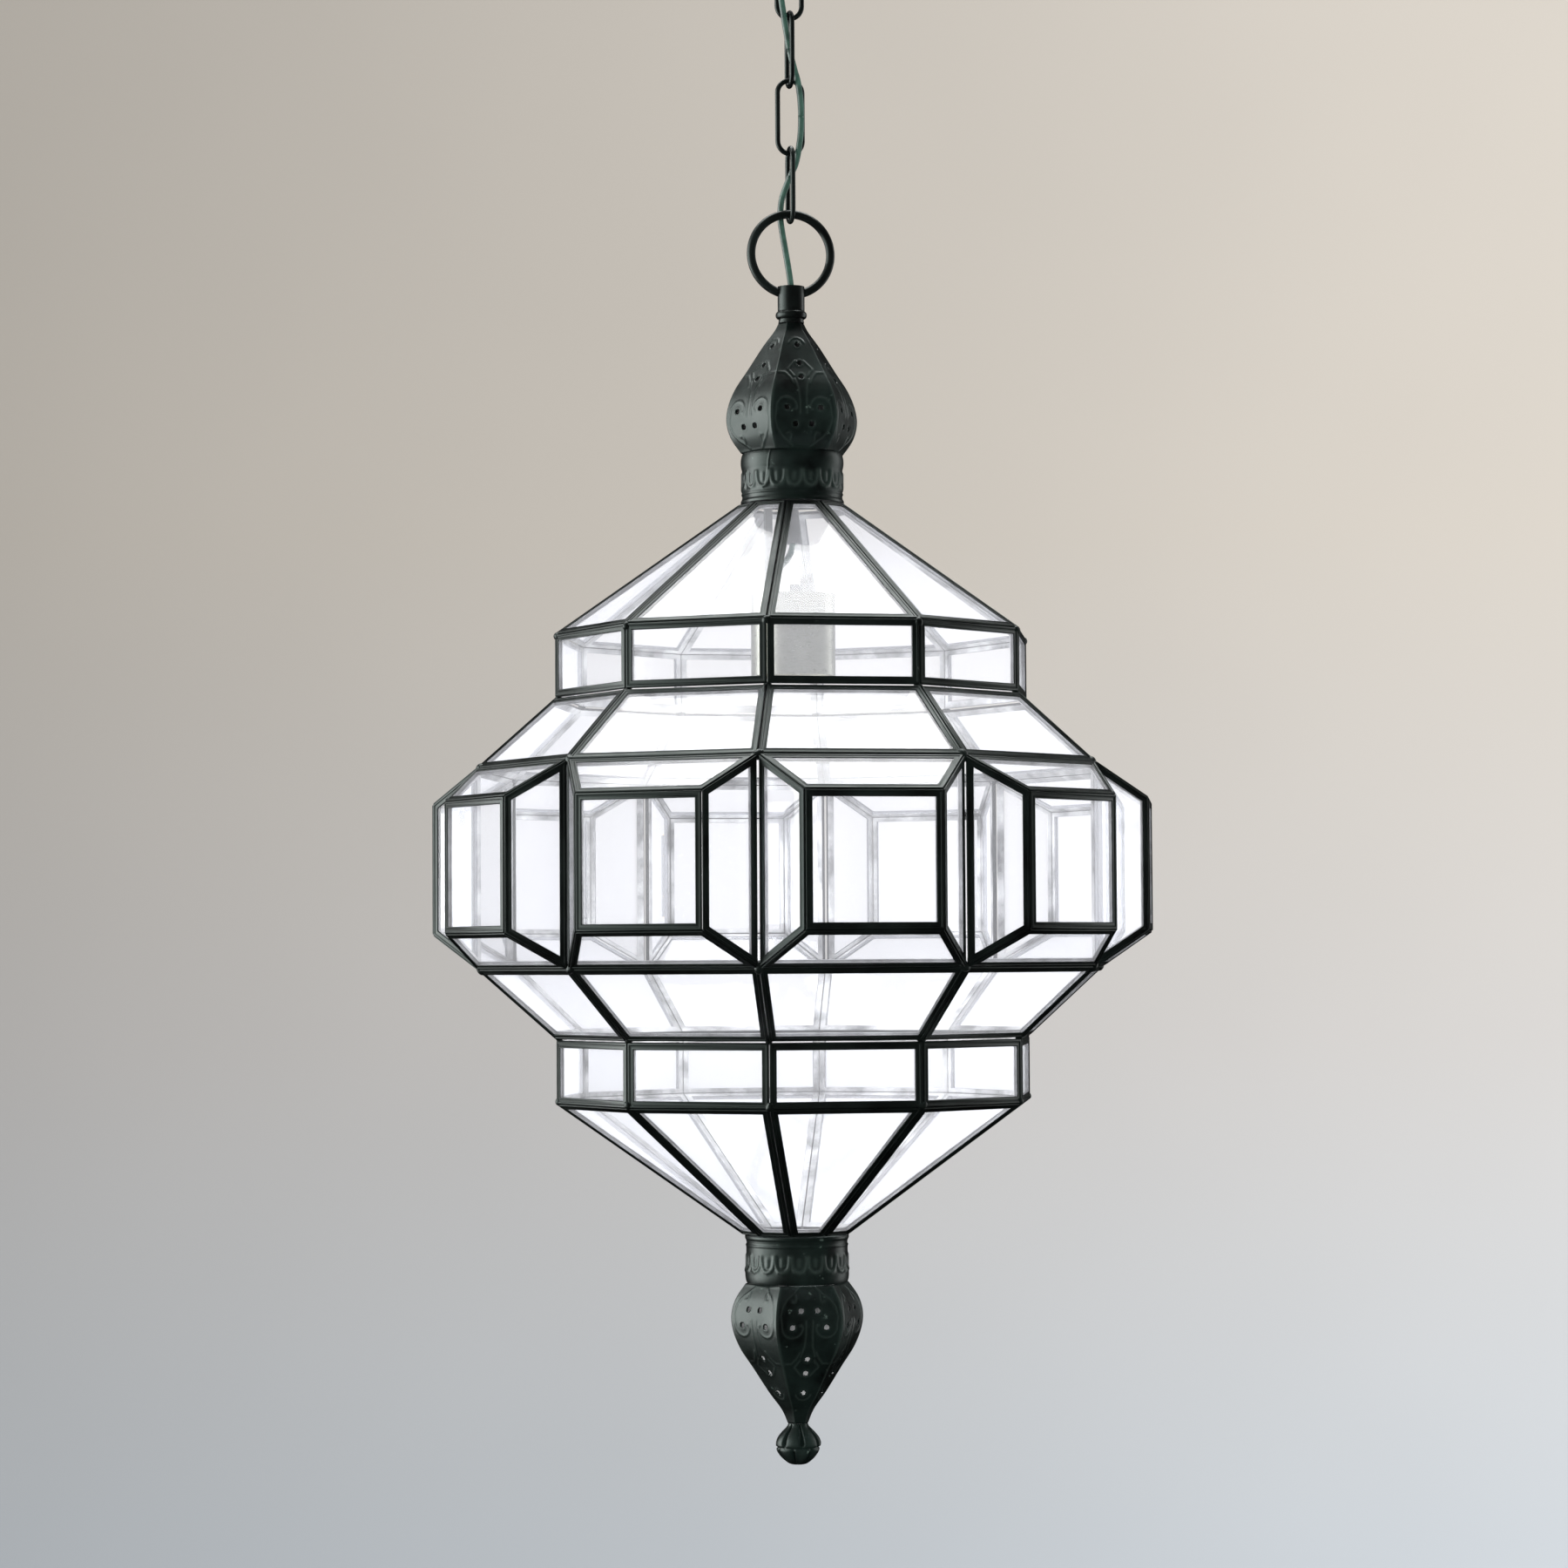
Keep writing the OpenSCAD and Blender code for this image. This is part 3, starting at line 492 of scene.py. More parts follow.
# A came's section: whether the distance counts from the seam, the distance into the pane, the depth
CAME_OUTSIDE = (
    [(False, CAME_W - 1.4, 0.5), (False, CAME_W, 0.5)]
    + quarter(CAME_W - 0.4, 0.4, 0.4, 0, -90, False)
    + [(False, 3.3, 0.04), (False, 2.8, 0.36), (False, 2.0, 0.36), (False, 1.7, 0.02)]
    + quarter(1.15, 1.1, 1.1, -90, -180, True, 7)
)
CAME_INSIDE = (
    quarter(0.45, CAME_T - 0.4, 0.4, 180, 90, True)
    + quarter(CAME_W - 0.4, CAME_T - 0.4, 0.4, 90, 0, False)
    + [(False, CAME_W, CAME_T - 0.5), (False, CAME_W - 1.4, CAME_T - 0.5)]
)
CAME_PROFILE = CAME_OUTSIDE + CAME_INSIDE


def around(radius, angle, height):
    """A point at an angle to the right of the front, and a height from the boxes' middle."""
    return Vector((radius * math.sin(angle), -radius * math.cos(angle), MID_Z + height))


def normal_of(pane):
    """The way out of a pane, whose corners go round from its lower left one."""
    return (pane[1] - pane[0]).cross(pane[3] - pane[0]).normalized()


def fold(first, second):
    """How far a came's outer wall leans in for each unit of depth, where two panes meet outwards."""
    return math.tan(normal_of(first).angle(normal_of(second)) / 2)


def inset(pane, distances):
    """A pane's corners after each of its edges has moved in by its own distance."""
    moved = []
    count = len(pane)
    for i in range(count):
        before = (pane[i] - pane[i - 1]).normalized()
        after = (pane[(i + 1) % count] - pane[i]).normalized()
        push = distances[i - 1] * after - distances[i] * before
        moved.append(pane[i] + push / before.cross(after).length)
    return moved


def tier_pane(k, low_r, low_z, high_r, high_z):
    left = TURN * (k - 0.5)
    right = TURN * (k + 0.5)
    return [around(low_r, left, low_z), around(low_r, right, low_z),
            around(high_r, right, high_z), around(high_r, left, high_z)]


def corner(k, side, height):
    angle = TURN * k
    return around(FACE_R, angle, height) + side * FACE_W / 2 * Vector((math.cos(angle), math.sin(angle), 0))


def valley(k, side, height):
    return around(VALLEY_R, TURN * (k + side / 2), height)


def face_pane(k):
    return [corner(k, -1, -FACE_Z), corner(k, 1, -FACE_Z), corner(k, 1, FACE_Z), corner(k, -1, FACE_Z)]


def box_top_pane(k):
    return [corner(k, -1, FACE_Z), corner(k, 1, FACE_Z), valley(k, 1, VALLEY_Z), valley(k, -1, VALLEY_Z)]


def box_bottom_pane(k):
    return [valley(k, -1, -VALLEY_Z), valley(k, 1, -VALLEY_Z), corner(k, 1, -FACE_Z), corner(k, -1, -FACE_Z)]


def side_pane_right(k):
    return [corner(k, 1, -FACE_Z), valley(k, 1, -VALLEY_Z), valley(k, 1, VALLEY_Z), corner(k, 1, FACE_Z)]


def side_pane_left(k):
    return [valley(k, -1, -VALLEY_Z), corner(k, -1, -FACE_Z), corner(k, -1, FACE_Z), valley(k, -1, VALLEY_Z)]


def came_mesh(pane, folds, play, points, faces, inner):
    """Adds the folded channel round one pane. inner tells which faces look into the lantern."""
    normal = normal_of(pane)
    start = len(points)
    for from_seam, distance, depth in CAME_PROFILE:
        reach = [((play + f * depth if from_seam else 0) + distance) * MM for f in folds]
        points.extend(q - normal * depth * MM for q in inset(pane, reach))
    count = len(CAME_PROFILE)
    for j in range(count):
        k = (j + 1) % count
        for i in range(4):
            e = (i + 1) % 4
            faces.append((start + 4 * j + i, start + 4 * j + e, start + 4 * k + e, start + 4 * k + i))
            inner.append(len(CAME_OUTSIDE) <= j)


BEAD_RINGS = 8
BEAD_SIDES = 16
# The bead's height and how far its edge reaches down, as shares of its size
BEAD_HEIGHT = 0.3
BEAD_SKIRT = 0.75
BEAD_SINK = 0.9 * MM
DRUM_BEAD = 2.6
VALLEY_BEAD = 3.4
RIDGE_ANGLE = math.radians(34)


def solder_bead(place, outward, size, seed, points, faces, inner):
    """A flattened, slightly uneven drop of solder over a joint."""
    start = len(points)
    across = outward.orthogonal().normalized()
    other = outward.cross(across)
    points.append(place + outward * size * BEAD_HEIGHT)
    for i in range(1, BEAD_RINGS + 1):
        tilt = math.pi / 2 * i / BEAD_RINGS
        height = BEAD_HEIGHT * math.cos(tilt) - BEAD_SKIRT * (i / BEAD_RINGS) ** 2
        for j in range(BEAD_SIDES):
            angle = 2 * math.pi * j / BEAD_SIDES
            uneven = 1 + 0.16 * math.sin(2 * angle + seed) + 0.08 * math.sin(3 * angle - seed)
            side = math.cos(angle) * across + math.sin(angle) * other
            points.append(place + size * math.sin(tilt) * uneven * side + outward * size * height)
    for j in range(BEAD_SIDES):
        e = (j + 1) % BEAD_SIDES
        faces.append((start, start + 1 + j, start + 1 + e))
        inner.append(False)
        for i in range(BEAD_RINGS - 1):
            a = start + 1 + i * BEAD_SIDES
            b = a + BEAD_SIDES
            faces.append((a + j, b + j, b + e, a + e))
            inner.append(False)


def make_cames(node, panes, beads=(), play=SEAM, body="lantern"):
    """Cames of one node: panes with their folds, and beads as (place, size)."""
    points = []
    faces = []
    inner = []
    for pane, folds in panes:
        came_mesh(pane, folds, play, points, faces, inner)
    for number, (place, size) in enumerate(beads):
        outward = (place - UP * MID_Z).normalized()
        solder_bead(place - outward * BEAD_SINK, outward, size * MM, 1.7 * number, points, faces, inner)
    piece = piece_from(node + "_cames", points, faces, "iron")
    piece.data.materials.append(MATERIALS["tin"])
    for polygon, is_inner in zip(piece.data.polygons, inner):
        polygon.material_index = int(is_inner)
    piece.data.set_sharp_from_angle(angle=RIDGE_ANGLE)
    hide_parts(node)
    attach(piece, body)


def tier(low_r, low_z, high_r, high_z, low_fold, high_fold):
    """The panes between two rings of corners, each with the folds at its four edges."""
    panes = [tier_pane(k, low_r, low_z, high_r, high_z) for k in range(SIDES)]
    upright = fold(panes[0], panes[1])
    return [(pane, [low_fold, upright, high_fold, upright]) for pane in panes]


def ring_beads(radius, height, size):
    return [(around(radius, TURN * (k + 0.5), height), size) for k in range(SIDES)]


def make_all_cames():
    """Each tier's cames. A pane's folds go round from its lower edge, and 0 is an edge with no fold."""
    drum_pane = tier_pane(0, DRUM_R, DRUM_IN_Z, DRUM_R, DRUM_OUT_Z)
    roof_pane = tier_pane(0, DRUM_R, DRUM_OUT_Z, END_RING_R, END_Z)
    rim = fold(drum_pane, roof_pane)
    top_face = fold(box_top_pane(0), face_pane(0))
    top_side = fold(box_top_pane(0), side_pane_right(0))
    face_side = fold(face_pane(0), side_pane_right(0))
    numbers = range(SIDES)
    make_cames("upper_roof_frame", tier(DRUM_R, DRUM_OUT_Z, END_RING_R, END_Z, rim, 0))
    make_cames("upper_drum_frame", tier(DRUM_R, DRUM_IN_Z, DRUM_R, DRUM_OUT_Z, 0, rim),
               ring_beads(DRUM_R, DRUM_OUT_Z, DRUM_BEAD) + ring_beads(DRUM_R, DRUM_IN_Z, DRUM_BEAD))
    make_cames("upper_shoulder_frame", tier(VALLEY_R, VALLEY_Z, DRUM_R, DRUM_IN_Z, 0, 0))
    make_cames("box_top_frame", [(box_top_pane(k), [top_face, top_side, 0, top_side]) for k in numbers])
    make_cames("box_face_frame", [
        (face_pane(k), [top_face, face_side, top_face, face_side]) for k in numbers if k != DOOR_NUMBER
    ])
    make_cames("door_frame", [(face_pane(DOOR_NUMBER), [top_face, face_side, top_face, face_side])],
               play=DOOR_PLAY, body="door")
    make_cames("box_side_frame",
               [(side_pane_right(k), [top_side, 0, top_side, face_side]) for k in numbers]
               + [(side_pane_left(k), [top_side, face_side, top_side, 0]) for k in numbers],
               ring_beads(VALLEY_R, VALLEY_Z, VALLEY_BEAD) + ring_beads(VALLEY_R, -VALLEY_Z, VALLEY_BEAD))
    make_cames("box_bottom_frame", [
        (box_bottom_pane(k), [0, top_side, top_face, top_side]) for k in numbers
    ])
    make_cames("lower_shoulder_frame", tier(DRUM_R, -DRUM_IN_Z, VALLEY_R, -VALLEY_Z, 0, 0))
    make_cames("lower_drum_frame", tier(DRUM_R, -DRUM_OUT_Z, DRUM_R, -DRUM_IN_Z, rim, 0),
               ring_beads(DRUM_R, -DRUM_OUT_Z, DRUM_BEAD) + ring_beads(DRUM_R, -DRUM_IN_Z, DRUM_BEAD))
    make_cames("lower_cone_frame", tier(END_RING_R, -END_Z, DRUM_R, -DRUM_OUT_Z, 0, rim))


make_all_cames()

# ---- Chain links and hoop ----

WIRE_SIDES = 24
BEND_STEPS = 14
HOOP_STEPS = 96
HOOP_END_X = 6.4 * MM


def make_link(name, body):
    """A link's stadium outline, swept by its wire. Its box gives its length, width and plane."""
    low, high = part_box(name)
    size = high - low
    wire = min(size.x, size.y) / 2
    across = Vector((1, 0, 0)) if size.x > size.y else Vector((0, 1, 0))
    bend = max(size.x, size.y) / 2 - wire
    centre = (low + high) / 2
    route = []
    for end in (1, -1):
        middle = centre + UP * end * (size.z / 2 - wire - bend)
        for i in range(BEND_STEPS + 1):
            angle = math.pi * i / BEND_STEPS
            route.append(middle + end * bend * (math.cos(angle) * across + math.sin(angle) * UP))
    points, faces = tube_mesh(route, wire, WIRE_SIDES, closed=True)
    piece = piece_from(name + "_wire", points, faces, "iron")
    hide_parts(name)
    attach(piece, body)


def make_hoop():
    """An open ring whose two ends are brazed to the stem's sides."""
    low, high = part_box("hanging_hoop")
    bar = (high.y - low.y) / 2
    radius = (high.x - low.x) / 2 - bar
    centre = Vector((0, 0, high.z - bar - radius))
    gap = math.asin(HOOP_END_X / radius)
    route = []
    for i in range(HOOP_STEPS + 1):
        angle = -math.pi / 2 + gap + (2 * math.pi - 2 * gap) * i / HOOP_STEPS
        route.append(centre + radius * Vector((math.cos(angle), 0, math.sin(angle))))
    points, faces = tube_mesh(route, bar, WIRE_SIDES, closed=False)
    piece = piece_from("hoop_bar", points, faces, "iron")
    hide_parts("hanging_hoop")
    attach(piece, "lantern")


for number in (4, 3, 2, 1):
    make_link(f"chain_link_{number}", f"link_{number}")
make_hoop()

# ---- Raised lines on stamped metal ----


def arc(centre, radius, first, last, steps):
    return [
        (centre[0] + radius * math.cos(math.radians(first + (last - first) * i / steps)),
         centre[1] + radius * math.sin(math.radians(first + (last - first) * i / steps)))
        for i in range(steps + 1)
    ]


def hump(distance, width):
    """A soft ridge's height, from 1 at its middle to nearly nothing two widths away."""
    return math.exp(-(distance / width) ** 2)


def line_distance(u, h, line):
    """How far a point is from the nearest stretch of a line."""
    best = 1e9
    for (ax, ay), (bx, by) in zip(line, line[1:]):
        dx, dy = bx - ax, by - ay
        t = max(0, min(1, ((u - ax) * dx + (h - ay) * dy) / (dx * dx + dy * dy)))
        best = min(best, math.hypot(u - ax - t * dx, h - ay - t * dy))
    return best


def raised(u, h, lines, width):
    """How far a point stands up, from 0 to 1, near any of the lines."""
    return max(hump(line_distance(u, h, line), width) for line in lines)


def wrap_grid(rows, columns, keep=None, flip=False):
    """Quads over rows of points that close round an axis."""
    faces = []
    for i in range(rows - 1):
        for j in range(columns):
            e = (j + 1) % columns
            if keep is None or keep(i, j):
                face = (i * columns + j, i * columns + e, (i + 1) * columns + e, (i + 1) * columns + j)
                faces.append(tuple(reversed(face)) if flip else face)
    return faces


def shade_wear_and_highlight(piece, values):
    """Keeps how raised each point is, and on the domes' ridges a painted highlight, for the metal's
    material.
    """
    attribute = piece.data.attributes.new("wear_and_highlight", "FLOAT", "POINT")
    attribute.data.foreach_set("value", values)


def thicken(piece, thickness):
    solid = piece.modifiers.new("sheet", "SOLIDIFY")
    solid.thickness = thickness
    solid.offset = -1
    solid.use_rim = True


# ---- Pierced domes ----

# Corner radius and height above the collar, in millimetres
DOME_OUTLINE = [
    (29, 0), (34.8, 8.5), (37.2, 17.5), (36, 26.5), (32, 36), (25, 46.5), (16.2, 60), (9.2, 69.5), (5.8, 77),
]
# Distance from a face's centre line and height, in millimetres
DOME_HOLES = [(0, 59.5), (0, 48.2), (0, 40.2), (-9.5, 22.3), (9.5, 22.3), (-4.6, 13.2), (4.6, 13.2)]
DOME_HOLE_RADIUS = 1.45
# A point this near a hole's edge moves onto it
HOLE_SNAP = 0.42
HOLE_RIM = 2.0
DOME_FACES = 6
DOME_COLUMNS = 60
DOME_ROWS = 130
DOME_ROUTE_STEPS = 24
# How far a raised line stands out, and its half width
EMBOSS = 0.42
DOME_LINE_WIDTH = 0.5
DOME_SHEET = 0.8 * MM
# Raised lines on the right half of a face. The left half mirrors them
DOME_LINES = [
    arc((0, 59.2), 4.4, 20, 90, 8),
    [(2.4, 49.6), (6.8, 44.6), (4.0, 40.6)],
    [(4.6, 36.2), (6.2, 39.6), (8.8, 42.6), (12.6, 42.8)],
    arc((9.5, 22.1), 5.9, -10, 172, 14),
    [(3.65, 22.9), (4.3, 21.0), (5.4, 21.4)],
    [(2.0, 19.0), (1.8, 26.0), (2.3, 33.0), (4.0, 38.6)],
    [(15.3, 21.0), (16.2, 16.0), (14.6, 10.8), (11.4, 6.8), (7.8, 4.2), (5.0, 1.6)],
    [(9.2, 8.4), (7.4, 8.8), (6.6, 7.2), (6.8, 4.6)],
]


def dome_outline(top_height):
    """Evenly spaced (corner radius, height, slope in radius, slope in height) up to a height."""
    curve = smooth_route([Vector((r, h, 0)) for r, h in DOME_OUTLINE], DOME_ROUTE_STEPS)
    curve = [p for p in curve if p.y <= top_height + 0.01]
    total = route_length(curve)
    rows = []
    index = 0
    walked = 0.0
    for row in range(DOME_ROWS + 1):
        wanted = total * row / DOME_ROWS
        while index < len(curve) - 2 and walked + (curve[index + 1] - curve[index]).length < wanted:
            walked += (curve[index + 1] - curve[index]).length
            index += 1
        step = curve[index + 1] - curve[index]
        along = step.normalized()
        place = curve[index] + along * (wanted - walked)
        rows.append((place.x, place.y, along.x, along.y))
    return rows


def snap_to_hole(u, h):
    """A point of a face, moved onto a hole's edge if it is near one."""
    for hole_u, hole_h in DOME_HOLES:
        far = math.hypot(u - hole_u, h - hole_h)
        if abs(far - DOME_HOLE_RADIUS) < HOLE_SNAP:
            scale = DOME_HOLE_RADIUS / far
            return hole_u + (u - hole_u) * scale, hole_h + (h - hole_h) * scale
    return u, h


def in_hole(u, h):
    return any(math.hypot(u - a, h - b) < DOME_HOLE_RADIUS - 0.05 for a, b in DOME_HOLES)


def dome_lift(u, h):
    """How far the sheet is pushed out at a point of a face: lines, hole rims and the lip at its foot."""
    lines = raised(abs(u), h, DOME_LINES, DOME_LINE_WIDTH)
    rim = max(hump(math.hypot(u - a, h - b) - HOLE_RIM, 0.45) for a, b in DOME_HOLES)
    lip = hump(h - 0.7, 0.7)
    return max(0.75 * lines, 0.45 * rim, 0.3 * lip)


def dome_face(height):
    """One face as rows of points: along the face, out from the axis, height, and how far raised with a
    painted highlight along its ridges.
    """
    flat = math.cos(math.pi / DOME_FACES)
    side = math.sin(math.pi / DOME_FACES)
    rows = []
    for radius, h, slope_r, slope_h in dome_outline(height):
        run = math.hypot(slope_r * flat, slope_h)
        row = []
        for j in range(DOME_COLUMNS):
            t = 2 * j / DOME_COLUMNS - 1
            u, new_h = snap_to_hole(t * radius * side, h)
            shift = (new_h - h) * slope_r / max(slope_h, 0.2)
            lift = dome_lift(u, new_h) * (1 - abs(t) ** 10)
            # The ridges between faces count as raised too: a painted highlight, lighter in the metal's
            # colour
            ridge_highlight = max(abs(t) - 0.9, 0) * 10
            out = (radius + shift) * flat + EMBOSS * lift * slope_h / run
            up = new_h - EMBOSS * lift * slope_r * flat / run
            row.append((u, out, up, max(lift, ridge_highlight)))
        rows.append(row)
    return rows


def make_dome(name, upside_down):
    low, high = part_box(name)
    base = high.z if upside_down else low.z
    sign = -1 if upside_down else 1
    face_rows = dome_face((high.z - low.z) / MM)
    points = []
    wear_and_highlight = []
    for row in face_rows:
        for face in range(DOME_FACES):
            turn = 2 * math.pi * face / DOME_FACES
            # lift is how far raised, and along the ridges a painted highlight
            for u, out, h, lift in row:
                x = u * math.cos(turn) + out * math.sin(turn)
                y = u * math.sin(turn) - out * math.cos(turn)
                points.append((x * MM, y * MM, base + sign * h * MM))
                wear_and_highlight.append(lift)

    def is_sheet(i, j):
        """Whether the quad at row i and column j is sheet, and not in a hole."""
        a = face_rows[i][j % DOME_COLUMNS]
        b = face_rows[i + 1][(j + 1) % DOME_COLUMNS]
        at_arris = (j + 1) % DOME_COLUMNS == 0
        return at_arris or not in_hole((a[0] + b[0]) / 2, (a[2] + b[2]) / 2)

    faces = wrap_grid(len(face_rows), DOME_FACES * DOME_COLUMNS, is_sheet, flip=upside_down)
    piece = piece_from(name + "_sheet", points, faces, "green_iron")
    shade_wear_and_highlight(piece, wear_and_highlight)
    remove_loose(piece)
    thicken(piece, DOME_SHEET)
    # The lower dome's inside gets the lighter tin, painted light that stands in for light through its holes
    piece.data.materials.append(MATERIALS["tin_painted_lit" if upside_down else "tin"])
    piece.modifiers["sheet"].material_offset = 1
    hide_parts(name)
    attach(piece, "lantern")


def remove_loose(piece):
    """Takes away the points that were left inside the holes."""
    made = bmesh.new()
    made.from_mesh(piece.data)
    bmesh.ops.delete(made, geom=[v for v in made.verts if not v.link_faces], context="VERTS")
    made.to_mesh(piece.data)
    made.free()


make_dome("top_dome", upside_down=False)
make_dome("bottom_dome", upside_down=True)

# ---- Collars ----

COLLAR_RADIUS = 28.0
COLLAR_COLUMNS = 384
COLLAR_ROWS = 74
COLLAR_MOTIFS = 19
COLLAR_SHEET = 1.0 * MM
# The upper collar's lap joint, in degrees to the right of the front
LAP_ANGLE = -37
# Raised lines of one motif: distance from its middle and height above the collar's foot
SCALLOP = [(0, 7.9), (2.0, 8.6), (3.5, 10.6), (4.1, 13.2), (4.3, 16.2)]
SCALLOP_WIDTH = 1.15
DROP = [(0, 11.4), (0, 14.6)]
DROP_WIDTH = 1.4
BAND_TOP = 20.5
# The lower collar's motifs stand the same way up as the upper one's
MOTIF_TURNED = 27


def collar_radius(h, height):
    """The plain profile: a flared foot, a fine line, the band and a low wide bead."""
    foot = 0.7 * hump(max(h - 1.2, 0), 0.9)
    line = 0.35 * hump(h - 5.2, 0.6) - 0.2 * hump(h - 3.9, 0.6)
    bead = 0.65 * max(1 - ((h - (height - 4.8)) / 4.2) ** 2, 0)
    edge = 0.25 * hump(max(height - h, 0), 0.5)
    return COLLAR_RADIUS + foot + line + bead - edge


def make_collar(name, upside_down):
    low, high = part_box(name)
    height = (high.z - low.z) / MM
    base = high.z if upside_down else low.z
    sign = -1 if upside_down else 1
    motif = 2 * math.pi * COLLAR_RADIUS / COLLAR_MOTIFS
    points = []
    wear_and_highlight = []
    for i in range(COLLAR_ROWS + 1):
        h = height * i / COLLAR_ROWS
        plain = collar_radius(h, height)
        for j in range(COLLAR_COLUMNS):
            angle = 2 * math.pi * j / COLLAR_COLUMNS
            along = (angle * COLLAR_RADIUS) % motif - motif / 2
            up = MOTIF_TURNED - h if upside_down else h
            scallop = raised(abs(along), up, [SCALLOP], SCALLOP_WIDTH) if 5 < up < BAND_TOP else 0
            drop = raised(abs(along), up, [DROP], DROP_WIDTH) if 8 < up < BAND_TOP else 0
            lift = max(scallop, 0.7 * drop)
            radius = plain + 0.6 * lift
            if not upside_down:
                lap = (math.degrees(angle) - LAP_ANGLE - 0.35 * (h - height) + 180) % 360 - 180
                radius += 0.3 * hump(lap, 0.9) * min(max((h - 8) / 4, 0), 1)
            x = radius * math.sin(angle)
            y = -radius * math.cos(angle)
            points.append((x * MM, y * MM, base + sign * h * MM))
            wear_and_highlight.append(lift)
    faces = wrap_grid(COLLAR_ROWS + 1, COLLAR_COLUMNS, flip=upside_down)
    piece = piece_from(name + "_sheet", points, faces, "green_iron")
    shade_wear_and_highlight(piece, wear_and_highlight)
    thicken(piece, COLLAR_SHEET)
    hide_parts(name)
    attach(piece, "lantern")


make_collar("top_collar", upside_down=False)
make_collar("bottom_collar", upside_down=True)

# ---- Finial ----

# Radius and distance below its top, in millimetres
FINIAL_OUTLINE = [
    (5.4, 0), (6.1, 2), (9.1, 5.2), (11.4, 8.4), (12.3, 12), (11.6, 14.8), (9.3, 18.4), (5.9, 21.6),
    (3.7, 22.6),
]
FINIAL_LENGTH = FINIAL_OUTLINE[-1][1]
FINIAL_CREASE = 13.2
FINIAL_PETALS = 7
FINIAL_COLUMNS = 240
FINIAL_ROUTE_STEPS = 6


def make_finial():
    """A knob of petals that meet in a crease round its widest part."""
    low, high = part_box("finial_knob")
    curve = smooth_route([Vector((r, h, 0)) for r, h in FINIAL_OUTLINE], FINIAL_ROUTE_STEPS)
    points = []
    wear_and_highlight = []
    for place in curve:
        radius, h = place.x, place.y
        stagger = 0 if h < FINIAL_CREASE else 0.5
        from_crease = min(abs(h - FINIAL_CREASE) / 2.5, 1)
        from_ends = min(max(h, 0) / 2, 1) * min(max(FINIAL_LENGTH - h, 0) / 3, 1)
        depth = from_crease * from_ends
        lip = hump(h - FINIAL_CREASE, 0.5)
        for j in range(FINIAL_COLUMNS):
            angle = 2 * math.pi * j / FINIAL_COLUMNS
            petal = (angle * FINIAL_PETALS / (2 * math.pi) + stagger) % 1 - 0.5
            groove = hump(0.5 - abs(petal), 0.085)
            swell = math.cos(petal * math.pi)
            share = 1 + depth * (0.04 * swell - 0.2 * groove) - 0.08 * lip
            r = radius * min(share, 1.04)
            points.append((r * math.sin(angle) * MM, -r * math.cos(angle) * MM, high.z - h * MM))
            wear_and_highlight.append(max(0, depth * (swell - 0.6)))
    faces = wrap_grid(len(curve), FINIAL_COLUMNS, flip=True)
    faces.append(tuple(reversed(range(FINIAL_COLUMNS))))
    faces.append(tuple(range(len(points) - FINIAL_COLUMNS, len(points))))
    piece = piece_from("finial_petals", points, faces, "green_iron")
    shade_wear_and_highlight(piece, wear_and_highlight)
    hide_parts("finial_knob")
    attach(piece, "lantern")


make_finial()

# ---- CAD nodes that stay ----

BEVEL_WIDTH = 0.35 * MM
BEVEL_ANGLE = math.radians(40)


def dress_cad_nodes():
    """Gives each node its slot's material, and softens the edges of all but the glass."""
    for name, item in frame["nodes"].items():
        item.data.materials.clear()
        item.data.materials.append(MATERIALS[SLOT_OF[name]])
        if SLOT_OF[name] == "glass":
            continue
        bevel = item.modifiers.new("edges", "BEVEL")
        bevel.width = BEVEL_WIDTH
        bevel.segments = 2
        bevel.limit_method = "ANGLE"
        bevel.angle_limit = BEVEL_ANGLE


dress_cad_nodes()

# ---- Stage and lights ----

FLOOR_DROP = 1.25
COVE_RADIUS = 5.0
COVE_BEND = 1.6
COVE_BEND_STEPS = 12
COVE_SIDES = 96
WALL_HEIGHT = 5.5
# The wall's colours from low to high, a painted light that grows from left to right, and its mottling
WALL_COLOURS = [(0.0, (0.398, 0.426, 0.453)), (0.5, (0.422, 0.408, 0.395)), (1.0, (0.436, 0.403, 0.359))]
WALL_PAINTED_LIGHT = [(0.0, (0.80, 0.80, 0.80)), (0.45, (1.1, 1.1, 1.1)), (1.0, (1.5, 1.5, 1.5))]
WALL_MOTTLE = [(0.3, (0.97, 0.97, 0.97)), (0.7, (1.03, 1.03, 1.03))]


def make_plaster():
    """Painted plaster, cool low down and warm high up, with painted light that makes it lighter on the
    right.
    """
    material = new_material("backdrop")
    tree = material.node_tree
    cloud = noise_value(tree, 0.6, detail=3)
    where = node(tree, "ShaderNodeTexCoord")
    parts = node(tree, "ShaderNodeSeparateXYZ")
    tree.links.new(where.outputs["Object"], parts.inputs["Vector"])
    height = spread(tree, parts.outputs["Z"], 0, 1, MID_Z - 1.1, MID_Z + 0.7)
    # Painted light: the wall's colour is multiplied up from left to right, as if a lamp lit its right side
    across = spread(tree, parts.outputs["X"], 0, 1, -0.6, 2.6)
    cool_to_warm = ramp(tree, height, *WALL_COLOURS)
    with_painted_light = mix_colour(tree, 1.0, cool_to_warm, ramp(tree, across, *WALL_PAINTED_LIGHT), blend="MULTIPLY")
    colour = mix_colour(tree, 1.0, with_painted_light, ramp(tree, cloud, *WALL_MOTTLE), blend="MULTIPLY")
    finish_material(tree, colour, spread(tree, cloud, 0.9, 1.0))
    return material


